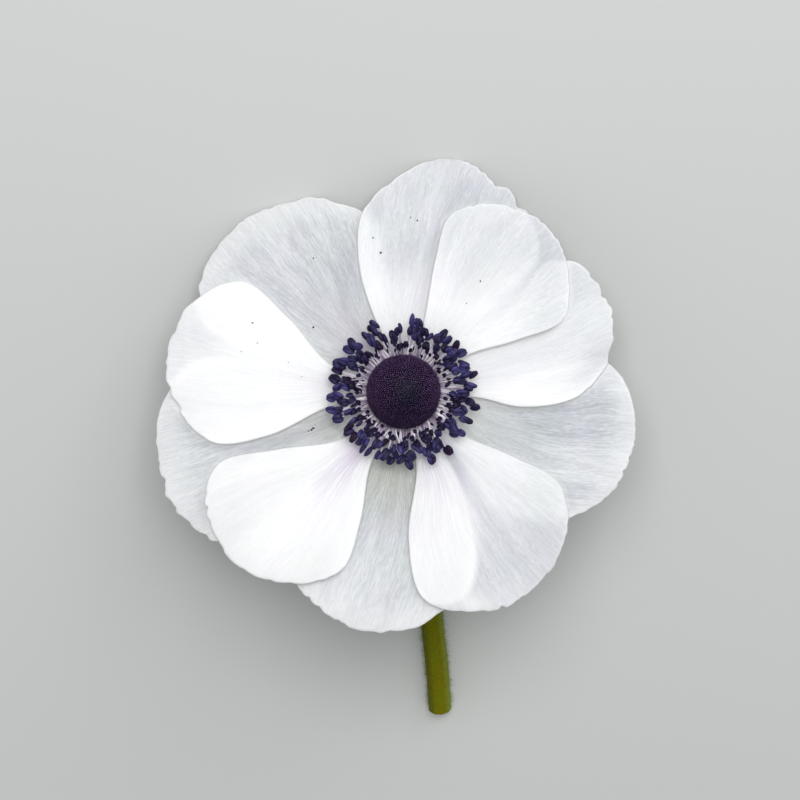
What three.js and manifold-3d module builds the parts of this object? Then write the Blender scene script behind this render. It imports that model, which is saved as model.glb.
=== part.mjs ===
// Anemone flower, picked. It lies on its stem and on the tips of two petals, with its face up.
// Lengths are in millimetres and +Z is up. The origin is on the surface that the flower lies on,
// under the middle of the whole flower with its stem.

import * as THREE from 'three';
import { mergeVertices } from 'three/addons/utils/BufferGeometryUtils.js';
import Module from 'manifold-3d';

const wasm = await Module();
wasm.setup();

// The head is the receptacle, petals, stamens and pistils. Its own frame has +Z out of the face,
// and HEAD_CENTRE is the place of that frame's origin, at the middle of where the petals join.
const HEAD_TILT = THREE.MathUtils.degToRad(30);
const HEAD_CENTRE = new THREE.Vector3(1.337, 22.235, 20.5);

// Petals. The claw is the narrow foot by which a petal joins the receptacle.
const CLAW_RADIUS = 5.5;
const PETAL_REACH = 39;
const PETAL_THICKNESS = 0.75;
const PETAL_ROWS = 12;
const PETAL_COLUMNS = 10;
const SHOULDER_POINT = 3;
const RIM_RUFFLES = 7;

// How high a layer of petals starts, how it rises, arches over and curls down towards its tips.
const BACK = { start: -1.4, rise: 2.6, arch: 2.2, curl: 1.6 };
const MIDDLE = { start: -0.3, rise: 4.2, arch: 3.3, curl: 1.3 };
const FRONT = { start: 0.8, rise: 6.2, arch: 4.4, curl: 1.1 };

// Each outline runs from the left shoulder of the claw round the tip to the right shoulder, as
// radius in millimetres and bearing in degrees, which grows leftwards from the head's +X.
// Its third point from either end, after the claw's corner, is where the side edge turns into
// the rim. Claw is the bearing of the claw's middle and half its width in degrees, cup is how far
// the edges stand up, droop is how far the tip hangs below its layer, and wave is the rim's ruffle.
const PETALS = [
  {
    name: 'petal_01', layer: MIDDLE, claw: [80, 22], cup: 0.5, droop: 0.3, wave: 0.35,
    outline: [[13.5, 111], [22.5, 109], [30.5, 103], [34.8, 94], [39.9, 78], [38.9, 70.7],
      [37.6, 63.5], [35.9, 54], [31.6, 43.5], [23, 43], [13, 50]],
  },
  {
    name: 'petal_02', layer: FRONT, claw: [51, 22], cup: 0.7, droop: 0, wave: 0.3,
    outline: [[12.7, 73.5], [22.9, 76.2], [30.3, 75], [34.2, 66], [36.2, 54], [36.1, 45.7],
      [34.2, 37.3], [29.3, 24.8], [21, 24.7], [12.8, 29.8]],
  },
  {
    name: 'petal_03', layer: MIDDLE, claw: [17, 22], cup: 0.6, droop: 0, wave: 0.4,
    outline: [[13, 37], [24, 39.5], [32.6, 42], [36.4, 33.5], [37.2, 25], [36.5, 17],
      [34.4, 8], [28.6, -1.8], [20, -7], [12.6, -4.1]],
  },
  {
    name: 'petal_04', layer: BACK, claw: [-17, 22], cup: 0.4, droop: 0, wave: 0.4,
    outline: [[13, 4], [24, 9], [34, 8.5], [38.2, -1.4], [39.5, -11], [39.6, -19],
      [38.2, -28], [33.2, -40.5], [25, -51], [13.3, -52]],
  },
  {
    name: 'petal_05', layer: MIDDLE, claw: [-58, 22], cup: 0.6, droop: 0, wave: 0.4,
    outline: [[12.2, -36.7], [21, -31], [30.5, -31], [36, -40.9], [38.8, -51], [39.8, -61],
      [39.2, -71.2], [34.8, -84.3], [24.5, -87.8], [13, -80]],
  },
  {
    name: 'petal_06', layer: BACK, claw: [-98, 20], cup: 0.4, droop: 0, wave: 0.5,
    outline: [[13.7, -60], [24.5, -59.5], [33, -70], [38.7, -84], [40.6, -96], [40.2, -105],
      [38.1, -114.4], [33.5, -123], [23, -124], [13, -117]],
  },
  {
    name: 'petal_07', layer: MIDDLE, claw: [-133, 20], cup: 0.8, droop: 0, wave: 0.25,
    outline: [[13.8, -114.3], [23, -108.6], [31.4, -109.3], [36.8, -119.5], [39.9, -131],
      [39.8, -141.6], [37.7, -151], [33.2, -158.6], [22.9, -155], [13.2, -143]],
  },
  {
    name: 'petal_08', layer: BACK, claw: [-162, 20], cup: 0.4, droop: 0, wave: 0.4,
    outline: [[13, -140], [25, -137], [38.5, -139.5], [42.2, -147.5], [43.2, -156], [42.7, -165],
      [41, -175.5], [35, -187], [24, -189], [13, -184]],
  },
  {
    name: 'petal_09', layer: MIDDLE, claw: [172, 20], cup: 0.8, droop: 0, wave: 0.3,
    outline: [[12.7, 191.2], [23.6, 197.8], [32.6, 195], [37, 186.5], [39.6, 176.5],
      [39.8, 166], [38.2, 157], [32.6, 145.8], [23.1, 147.5], [12.6, 160.5]],
  },
  {
    name: 'petal_10', layer: BACK, claw: [128, 22], cup: 0.4, droop: 3, wave: 0.35,
    outline: [[12.5, 163], [24, 162], [35.2, 159.5], [39.4, 149], [39.8, 136], [38.1, 125],
      [35.8, 114.5], [29.6, 101], [20, 99.5], [11.5, 106]],
  },
];

// Receptacle and stem. The receptacle is the stem's swollen end, given as radius and height in
// the head's frame. The stem bends from its neck to lie at its rest height, and runs on to the cut.
const RECEPTACLE = [[4.6, 1.2], [5.2, 0.7], [5.2, -1.6], [4.7, -3.0], [3.4, -4.4], [2.4, -5.6]];
const STEM_NECK_RADIUS = 1.9;
const STEM_NECK_DEPTH = 7;
const STEM_CUT_RADIUS = 2.05;
const STEM_REST_HEIGHT = 1.8;
const STEM_HEADING = THREE.MathUtils.degToRad(5.5);
const STEM_LENGTH_FROM_BEND = 67;
const STEM_SWAY = 0.8;
const STEM_SIDES = 16;
const STEM_STEPS = 26;

// Stamens grow from the rim of a collar that sits on the receptacle round the pistils. Their
// filaments are rooted inside the collar, and each anther lies flatter than its filament.
const COLLAR = [[0, 1.5], [5.3, 1.5], [6.0, 1.8], [6.0, 2.1], [5.5, 2.4], [0, 2.4]];
const COLLAR_SIDES = 36;
const FILAMENT_RADIUS = 0.28;
const FILAMENT_ROOT_RADIUS = 5.2;
const FILAMENT_ROOT_HEIGHT = 1.9;
const ANTHER_LENGTH = 2.3;
const ANTHER_WIDTH = 1.6;
const ANTHER_DEPTH = 1.15;
const ANTHER_FLATTER = 2;
const ANTHER_OVERHANG = 0.2 * ANTHER_LENGTH;
const STAMEN_SEED = 11;
const SCATTER = { place: 0.22, radius: 0.55, height: 0.3, bearing: 3, roll: 0.7 };
const WHORLS = [
  { count: 17, radius: 8.0, height: 5.5 },
  { count: 21, radius: 9.6, height: 4.8 },
  { count: 26, radius: 11.1, height: 4.0 },
];

// The dome of pistils stands on a short neck inside the ring of stamens.
const DOME_RADIUS = 6.15;
const DOME_WIDEST = 4.7;
const DOME_TOP = 8.6;
const DOME_FOOT = 2.7;
const DOME_FOOT_RADIUS = 4.6;
const DOME_SIDES = 24;
const DOME_RINGS = 6;
const STYLE_COUNT = 120;
const STYLE_RADIUS = 0.42;
const STYLE_HEIGHT = 0.75;
const STYLE_SUNK = 0.3;
const LOWEST_STYLE = 0.02;

// A block wider than the flower, whose top is the surface that the flower lies on.
const BLOCK_WIDTH = 300;
const BLOCK_DEPTH = 40;

// The long axis of a cone, and of an anther before it is turned.
const UPRIGHT = new THREE.Vector3(0, 1, 0);

const WHITE = new THREE.MeshStandardMaterial({ color: 0xf6f7fa, roughness: 0.6, metalness: 0 });
const GREEN = new THREE.MeshStandardMaterial({ color: 0x66702a, roughness: 0.7, metalness: 0 });
const NAVY = new THREE.MeshStandardMaterial({ color: 0x2b2a55, roughness: 0.65, metalness: 0 });
const PURPLE = new THREE.MeshStandardMaterial({ color: 0x2d1e3c, roughness: 0.8, metalness: 0 });

// A repeatable run of random numbers from 0 to 1.
function seeded(seed) {
  let state = seed;
  return () => {
    state = (state + 0x6d2b79f5) | 0;
    let mixed = Math.imul(state ^ (state >>> 15), 1 | state);
    mixed = (mixed + Math.imul(mixed ^ (mixed >>> 7), 61 | mixed)) ^ mixed;
    return ((mixed ^ (mixed >>> 14)) >>> 0) / 4294967296;
  };
}

// A point of the head's frame from its radius, bearing in degrees and height.
function around(radius, bearing, height = 0) {
  const angle = THREE.MathUtils.degToRad(bearing);
  return new THREE.Vector3(radius * Math.cos(angle), radius * Math.sin(angle), height);
}

// A closed geometry as a solid that can be joined and cut.
function solidOf(geometry) {
  geometry.deleteAttribute('normal');
  geometry.deleteAttribute('uv');
  const merged = mergeVertices(geometry);
  const vertProperties = new Float32Array(merged.attributes.position.array);
  const triVerts = new Uint32Array(merged.index.array);
  return new wasm.Manifold(new wasm.Mesh({ numProp: 3, vertProperties, triVerts }));
}

// A solid as a geometry.
function geometryOf(solid) {
  const mesh = solid.getMesh();
  const geometry = new THREE.BufferGeometry();
  geometry.setAttribute('position', new THREE.BufferAttribute(new Float32Array(mesh.vertProperties), 3));
  geometry.setIndex(new THREE.BufferAttribute(new Uint32Array(mesh.triVerts), 1));
  geometry.computeVertexNormals();
  return geometry;
}

// A body turned round +Z from a profile of radius and height.
function turned(profile, sides) {
  const points = profile.map(([radius, height]) => new THREE.Vector2(radius, height));
  const geometry = new THREE.LatheGeometry(points, sides);
  geometry.rotateX(Math.PI / 2);
  return geometry;
}

// A round stalk along a curve. Its sections are distances along the curve with their radii, and
// its first corner points towards up.
function stalk(curve, sections, sides, up) {
  const length = curve.getLength();
  const steps = sections.length - 1;
  const positions = [];
  const index = [];
  const normal = up.clone();
  sections.forEach(([distance, radius]) => {
    const centre = curve.getPointAt(distance / length);
    const tangent = curve.getTangentAt(distance / length);
    normal.addScaledVector(tangent, -normal.dot(tangent)).normalize();
    const binormal = new THREE.Vector3().crossVectors(tangent, normal);
    for (let side = 0; side < sides; side += 1) {
      const angle = (2 * Math.PI * side) / sides;
      const point = centre.clone().addScaledVector(normal, radius * Math.cos(angle));
      point.addScaledVector(binormal, radius * Math.sin(angle));
      positions.push(point.x, point.y, point.z);
    }
  });
  for (let step = 0; step < steps; step += 1) {
    for (let side = 0; side < sides; side += 1) {
      const near = step * sides + side;
      const next = step * sides + ((side + 1) % sides);
      index.push(near, next, near + sides);
      index.push(next, next + sides, near + sides);
    }
  }
  const last = steps * sides;
  for (let side = 1; side < sides - 1; side += 1) {
    index.push(0, side + 1, side);
    index.push(last, last + side, last + side + 1);
  }
  const geometry = new THREE.BufferGeometry();
  geometry.setAttribute('position', new THREE.Float32BufferAttribute(positions, 3));
  geometry.setIndex(index);
  return geometry;
}

// The middle surface of a petal: along runs from 0 at the claw to 1 at the rim, and across from
// 0 at the left edge to 1 at the right.
function petalSurface(petal) {
  const [middle, half] = petal.claw;
  const points = [around(CLAW_RADIUS, middle + half)];
  petal.outline.forEach(([radius, bearing]) => points.push(around(radius, bearing)));
  points.push(around(CLAW_RADIUS, middle - half));
  const outline = new THREE.CatmullRomCurve3(points, false, 'centripetal');
  const shoulder = SHOULDER_POINT / (points.length - 1);
  const left = (along) => outline.getPoint(shoulder * along);
  const right = (along) => outline.getPoint(1 - shoulder * along);
  const rim = (across) => outline.getPoint(shoulder + (1 - 2 * shoulder) * across);
  const claw = (across) => around(CLAW_RADIUS, middle + half * (1 - 2 * across));

  return (along, across) => {
    const point = new THREE.Vector3();
    point.addScaledVector(left(along), 1 - across).addScaledVector(right(along), across);
    point.addScaledVector(claw(across), 1 - along).addScaledVector(rim(across), along);
    point.addScaledVector(left(0), -(1 - across) * (1 - along));
    point.addScaledVector(right(0), -across * (1 - along));
    point.addScaledVector(left(1), -(1 - across) * along).addScaledVector(right(1), -across * along);
    point.z = petalHeight(petal, point, along, 2 * across - 1);
    return point;
  };
}

// How high a petal stands: its layer's profile, with raised edges, a hanging tip and a ruffled rim.
function petalHeight(petal, point, along, side) {
  const { start, rise, arch, curl } = petal.layer;
  const out = (Math.hypot(point.x, point.y) - CLAW_RADIUS) / (PETAL_REACH - CLAW_RADIUS);
  const profile = start + rise * out - arch * out ** 2 - curl * out ** 4;
  const cup = petal.cup * side ** 2 * out;
  const droop = petal.droop * out ** 3;
  const phase = THREE.MathUtils.degToRad(petal.claw[0]);
  const ruffle = petal.wave * along ** 6 * Math.sin(RIM_RUFFLES * side + phase);
  return profile + cup - droop + ruffle;
}

// A petal as a thin blade, with its two faces split into triangles alike.
function blade(petal) {
  const surface = petalSurface(petal);
  const width = PETAL_COLUMNS + 1;
  const face = width * (PETAL_ROWS + 1);
  const positions = [];
  const index = [];
  [PETAL_THICKNESS / 2, -PETAL_THICKNESS / 2].forEach((offset) => {
    for (let row = 0; row <= PETAL_ROWS; row += 1) {
      for (let column = 0; column <= PETAL_COLUMNS; column += 1) {
        const point = surface(row / PETAL_ROWS, column / PETAL_COLUMNS);
        positions.push(point.x, point.y, point.z + offset);
      }
    }
  });
  for (let row = 0; row < PETAL_ROWS; row += 1) {
    for (let column = 0; column < PETAL_COLUMNS; column += 1) {
      const a = row * width + column;
      const b = a + 1;
      const c = a + width;
      const d = c + 1;
      index.push(a, b, c, b, d, c);
      index.push(face + a, face + c, face + b, face + b, face + c, face + d);
    }
  }
  const edge = [];
  for (let column = 0; column < PETAL_COLUMNS; column += 1) edge.push(column);
  for (let row = 0; row < PETAL_ROWS; row += 1) edge.push(row * width + PETAL_COLUMNS);
  for (let column = PETAL_COLUMNS; column > 0; column -= 1) edge.push(PETAL_ROWS * width + column);
  for (let row = PETAL_ROWS; row > 0; row -= 1) edge.push(row * width);
  edge.forEach((from, place) => {
    const to = edge[(place + 1) % edge.length];
    index.push(from, face + from, to, to, face + from, face + to);
  });
  const geometry = new THREE.BufferGeometry();
  geometry.setAttribute('position', new THREE.Float32BufferAttribute(positions, 3));
  geometry.setIndex(index);
  return geometry;
}

// The head's group carries the tilt, and its matrix puts the head's frame in the flower's.
const head = new THREE.Group();
head.position.copy(HEAD_CENTRE);
head.rotation.x = -HEAD_TILT;
head.updateMatrixWorld(true);

// The block cuts the small flats where the flower touches the surface.
const block = new THREE.BoxGeometry(BLOCK_WIDTH, BLOCK_WIDTH, BLOCK_DEPTH).translate(0, 0, -BLOCK_DEPTH / 2);
const blockInHead = solidOf(block.clone().applyMatrix4(head.matrixWorld.clone().invert()));

// The stem's line, from the receptacle's top, round its bend and along the surface to the cut.
function stemLine() {
  const out = new THREE.Vector3(0, 0, 1).transformDirection(head.matrixWorld);
  const top = HEAD_CENTRE.clone().addScaledVector(out, RECEPTACLE[0][1]);
  const neck = HEAD_CENTRE.clone().addScaledVector(out, -STEM_NECK_DEPTH);
  const fall = (neck.z - STEM_REST_HEIGHT) / out.z;
  const corner = neck.clone().addScaledVector(out, -fall);
  const heading = new THREE.Vector3(Math.sin(STEM_HEADING), -Math.cos(STEM_HEADING), 0);
  const aside = new THREE.Vector3(Math.cos(STEM_HEADING), Math.sin(STEM_HEADING), 0);
  const down = corner.clone().addScaledVector(heading, fall);
  const end = corner.clone().addScaledVector(heading, STEM_LENGTH_FROM_BEND);
  const span = down.distanceTo(end);
  const line = new THREE.CurvePath();
  line.add(new THREE.LineCurve3(top, neck));
  line.add(new THREE.QuadraticBezierCurve3(neck, corner, down));
  line.add(new THREE.CubicBezierCurve3(
    down,
    down.clone().addScaledVector(heading, span / 3),
    end.clone().addScaledVector(heading, -span / 3).addScaledVector(aside, STEM_SWAY),
    end,
  ));
  return line;
}

// Stem and receptacle are one grown piece.
function stem() {
  const line = stemLine();
  const length = line.getLength();
  const neck = RECEPTACLE[0][1] + STEM_NECK_DEPTH;
  const sections = RECEPTACLE.map(([radius, height]) => [RECEPTACLE[0][1] - height, radius]);
  for (let step = 0; step <= STEM_STEPS; step += 1) {
    const along = step / STEM_STEPS;
    const radius = THREE.MathUtils.lerp(STEM_NECK_RADIUS, STEM_CUT_RADIUS, along);
    sections.push([THREE.MathUtils.lerp(neck, length, along), radius]);
  }
  const solid = solidOf(stalk(line, sections, STEM_SIDES, new THREE.Vector3(1, 0, 0)));
  return geometryOf(solid.subtract(solidOf(block.clone())));
}

// One anther, a flattened egg at the end of its filament, pointing along the given direction.
function anther(place, direction, turn) {
  const geometry = new THREE.SphereGeometry(0.5, 5, 4);
  geometry.scale(ANTHER_WIDTH, ANTHER_LENGTH, ANTHER_DEPTH);
  geometry.rotateY(turn);
  const lean = new THREE.Quaternion().setFromUnitVectors(UPRIGHT, direction);
  geometry.applyQuaternion(lean);
  geometry.translate(place.x, place.y, place.z);
  return solidOf(geometry);
}

// The collar with its filaments and anthers, in whorls that grow wider and lower outwards.
function stamens() {
  const random = seeded(STAMEN_SEED);
  const spread = (size) => size * (2 * random() - 1);
  const solids = [solidOf(turned(COLLAR, COLLAR_SIDES))];
  WHORLS.forEach(({ count, radius, height }) => {
    const offset = 360 * random();
    for (let place = 0; place < count; place += 1) {
      const bearing = offset + (360 * (place + spread(SCATTER.place))) / count;
      const reach = radius + spread(SCATTER.radius);
      const root = around(FILAMENT_ROOT_RADIUS, bearing, FILAMENT_ROOT_HEIGHT);
      const tip = around(reach, bearing + spread(SCATTER.bearing), height + spread(SCATTER.height));
      const filament = new THREE.LineCurve3(root, tip);
      const sections = [[0, FILAMENT_RADIUS], [root.distanceTo(tip), FILAMENT_RADIUS]];
      const direction = tip.clone().sub(root).add(around(ANTHER_FLATTER, bearing)).normalize();
      const centre = tip.clone().addScaledVector(direction, ANTHER_OVERHANG);
      solids.push(solidOf(stalk(filament, sections, 3, new THREE.Vector3(0, 0, 1))));
      solids.push(anther(centre, direction, spread(SCATTER.roll)));
    }
  });
  return geometryOf(wasm.Manifold.union(solids));
}

// The dome of pistils: a round head set all over with short blunt styles.
function pistilDome() {
  const domeRise = DOME_TOP - DOME_WIDEST;
  const profile = [[0, DOME_FOOT], [DOME_FOOT_RADIUS, DOME_FOOT]];
  for (let ring = 0; ring < DOME_RINGS; ring += 1) {
    const angle = (Math.PI / 2) * (ring / DOME_RINGS);
    profile.push([DOME_RADIUS * Math.cos(angle), DOME_WIDEST + domeRise * Math.sin(angle)]);
  }
  profile.push([0, DOME_TOP]);
  const solids = [solidOf(turned(profile, DOME_SIDES))];
  const goldenAngle = 180 * (3 - Math.sqrt(5));
  for (let place = 0; place < STYLE_COUNT; place += 1) {
    const share = THREE.MathUtils.lerp(LOWEST_STYLE, 1, (place + 0.5) / STYLE_COUNT);
    const ring = Math.sqrt(1 - share ** 2);
    const spot = around(DOME_RADIUS * ring, goldenAngle * place, DOME_WIDEST + domeRise * share);
    const outward = around(ring, goldenAngle * place, (share * DOME_RADIUS) / domeRise).normalize();
    const style = new THREE.ConeGeometry(STYLE_RADIUS, STYLE_HEIGHT, 4);
    style.translate(0, STYLE_HEIGHT / 2 - STYLE_SUNK, 0);
    style.applyQuaternion(new THREE.Quaternion().setFromUnitVectors(UPRIGHT, outward));
    style.translate(spot.x, spot.y, spot.z);
    solids.push(solidOf(style));
  }
  return geometryOf(wasm.Manifold.union(solids));
}

// One named piece of the flower.
function piece(name, geometry, material) {
  const mesh = new THREE.Mesh(geometry, material);
  mesh.name = name;
  return mesh;
}

PETALS.forEach((petal) => {
  const solid = solidOf(blade(petal)).subtract(blockInHead);
  head.add(piece(petal.name, geometryOf(solid), WHITE));
});
head.add(piece('stamens', stamens(), NAVY));
head.add(piece('pistil_dome', pistilDome(), PURPLE));

const flower = new THREE.Group();
flower.add(piece('stem', stem(), GREEN));
flower.add(head);

export default flower;
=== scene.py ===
"""Anemone flower, picked, lying on its stem and on two petal tips with its face up.

The flower is built as petals in three layers, a ring of stamens, a dome of pistils, a hairy stem
and a little fallen pollen, each a class of its own. Shapes are worked out in millimetres and
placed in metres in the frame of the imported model, so each piece stands where its solid stands.
"""

import logging
import math
from dataclasses import dataclass, field
from enum import Enum
from typing import NamedTuple

import bpy
import numpy as np
from mathutils import Matrix, Vector


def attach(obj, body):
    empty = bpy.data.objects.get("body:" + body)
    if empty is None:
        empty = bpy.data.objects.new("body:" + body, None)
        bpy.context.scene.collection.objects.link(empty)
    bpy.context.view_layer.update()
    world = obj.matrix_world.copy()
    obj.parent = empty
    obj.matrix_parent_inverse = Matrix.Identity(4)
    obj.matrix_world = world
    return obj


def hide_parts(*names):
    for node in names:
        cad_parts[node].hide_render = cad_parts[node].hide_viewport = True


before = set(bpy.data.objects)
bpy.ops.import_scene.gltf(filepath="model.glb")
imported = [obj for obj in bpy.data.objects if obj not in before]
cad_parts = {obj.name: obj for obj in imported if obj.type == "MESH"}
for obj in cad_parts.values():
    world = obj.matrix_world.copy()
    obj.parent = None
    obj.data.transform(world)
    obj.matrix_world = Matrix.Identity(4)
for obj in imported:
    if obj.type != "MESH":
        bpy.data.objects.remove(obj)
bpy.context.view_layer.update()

LOG = logging.getLogger("anemone")
MM = 0.001
BODY = "root"
IMAGE_SIDE_PX = 800
FLOOR_GAP = 0.02
Color = tuple[float, float, float]
Patches = tuple[tuple[float, float, float, float], ...]
WHITE: Color = (1.0, 1.0, 1.0)
UP = np.array([0.0, 0.0, 1.0])
GOLDEN_ANGLE = math.pi * (3 - math.sqrt(5))


@dataclass(frozen=True)
class HeadFrame:
    """The frame of the flower's head: +Z out of its face, origin where the petals join.

    Attributes:
        centre: The origin's place in the flower's frame, in millimetres.
        tilt: How far the face leans back from straight up, in degrees.
    """

    centre: tuple[float, float, float] = (1.337, 22.235, 20.5)
    tilt: float = 30.0

    def axes(self) -> np.ndarray:
        """The head's axes in the flower's frame.

        Returns:
            The three axes as the rows of a matrix.
        """
        lean = math.radians(self.tilt)
        along_face = [0.0, math.cos(lean), -math.sin(lean)]
        out_of_face = [0.0, math.sin(lean), math.cos(lean)]
        return np.array([[1.0, 0.0, 0.0], along_face, out_of_face])

    def place(self, points: np.ndarray) -> np.ndarray:
        """Points of the head's frame in the flower's frame.

        Args:
            points: Rows of x, y, z in the head's frame, in millimetres.

        Returns:
            The same points in the flower's frame, none of them below the surface.
        """
        placed = points @ self.axes() + np.array(self.centre)
        placed[:, 2] = np.maximum(placed[:, 2], FLOOR_GAP)
        return placed

    def direction(self, towards: tuple[float, float, float]) -> Vector:
        """A direction of the head's frame as a unit vector of the flower's frame."""
        return Vector(np.array(towards) @ self.axes()).normalized()


HEAD = HeadFrame()


@dataclass(frozen=True)
class LayerProfile:
    """How a layer of petals starts at the claw, rises, arches over and curls at its tips.

    Attributes:
        rank: 0 for the layer furthest back.
        start: Height at the claw, in millimetres.
        rise: Height gained over the petal's reach.
        arch: Height lost to the arch over that reach.
        curl: Height lost to the curl of the tip.
        show_through: How soft the edge of a petal behind shows through in the painted light, in millimetres
            near the claw and at the rim.
        rim_glow: How much painted glow a petal has in the zone behind its rim.
    """

    rank: int
    start: float
    rise: float
    arch: float
    curl: float
    show_through: tuple[float, float] = (1.6, 1.6)
    rim_glow: float = 0.12


class Layer(Enum):
    """The three layers of petals."""

    BACK = LayerProfile(0, -1.4, 2.6, 2.2, 1.6, rim_glow=0.42)
    MIDDLE = LayerProfile(1, -0.3, 4.2, 3.3, 1.3)
    FRONT = LayerProfile(2, 0.8, 6.2, 4.4, 1.1, (1.7, 0.6))


class PaintedWhiteness(NamedTuple):
    """How white a petal is painted, from 0 to 1, as painted light and shade.

    Attributes:
        left: At its left edge.
        right: At its right edge.
        base: How much whiter it is painted at the base; below 0, darker.
        lit_doubled: How much painted light it takes where another petal lies behind it.
    """

    left: float = 0.1
    right: float = 0.1
    base: float = 0.0
    lit_doubled: float = 1.0


class Fold(NamedTuple):
    """A lengthwise fold, with painted light and shade on its two sides; the left edge's painted white runs
    to its left.

    Attributes:
        depth: How far the petal hangs to the fold's right, in millimetres.
        start: Where it starts across, at the claw.
        end: Where it ends across, at the rim.
        bend: How far the change of whiteness bends aside at the rim.
    """

    depth: float = 0.0
    start: float = 0.5
    end: float = 0.5
    bend: float = 0.28

    def place(self, length: np.ndarray) -> np.ndarray:
        """Where the fold lies across, at places along the petal."""
        return self.start + (self.end - self.start) * length


@dataclass(frozen=True)
class PetalShape:
    """One petal's outline and form.

    Attributes:
        node: The solid that the petal stands for.
        layer: The layer that it belongs to.
        claw: Bearing of the claw's middle and half its width, in degrees.
        cup: How far the side edges stand up, in millimetres.
        droop: How far the tip hangs below its layer, in millimetres.
        wave: Height of the ruffle along the rim, in millimetres.
        outline: Radius in millimetres and bearing in degrees of each point of the edge, from
            the left shoulder of the claw round the tip to the right shoulder.
        painted_whiteness: How white it is painted, as painted light and shade.
        nicks: Place along the rim from 0 to 1, depth in millimetres and width as a share of
            the rim of each nick; one with a depth below 0 stands out.
        blush: Strength of the lilac flush at the base, and where it sits across the petal.
        fold: Its lengthwise fold.
        patches: Place across and along, spread and how much whiter it makes each broad patch of painted
            light; one below 0 is painted shade.
        shades: Place across and along, spread and strength of each broad painted shade.
        claw_tint: How strongly the claw shows its own colour.
        contact_light: How much painted light lifts the shade close to the edge of a petal that lies on it.
    """

    node: str
    layer: Layer
    claw: tuple[float, float]
    cup: float
    droop: float
    wave: float
    outline: tuple[tuple[float, float], ...]
    painted_whiteness: PaintedWhiteness = PaintedWhiteness()
    nicks: tuple[tuple[float, float, float], ...] = ()
    blush: tuple[float, float] = (0.3, 0.5)
    fold: Fold = Fold()
    patches: Patches = ()
    shades: Patches = ()
    claw_tint: float = 0.85
    contact_light: float = 0.95


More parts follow.
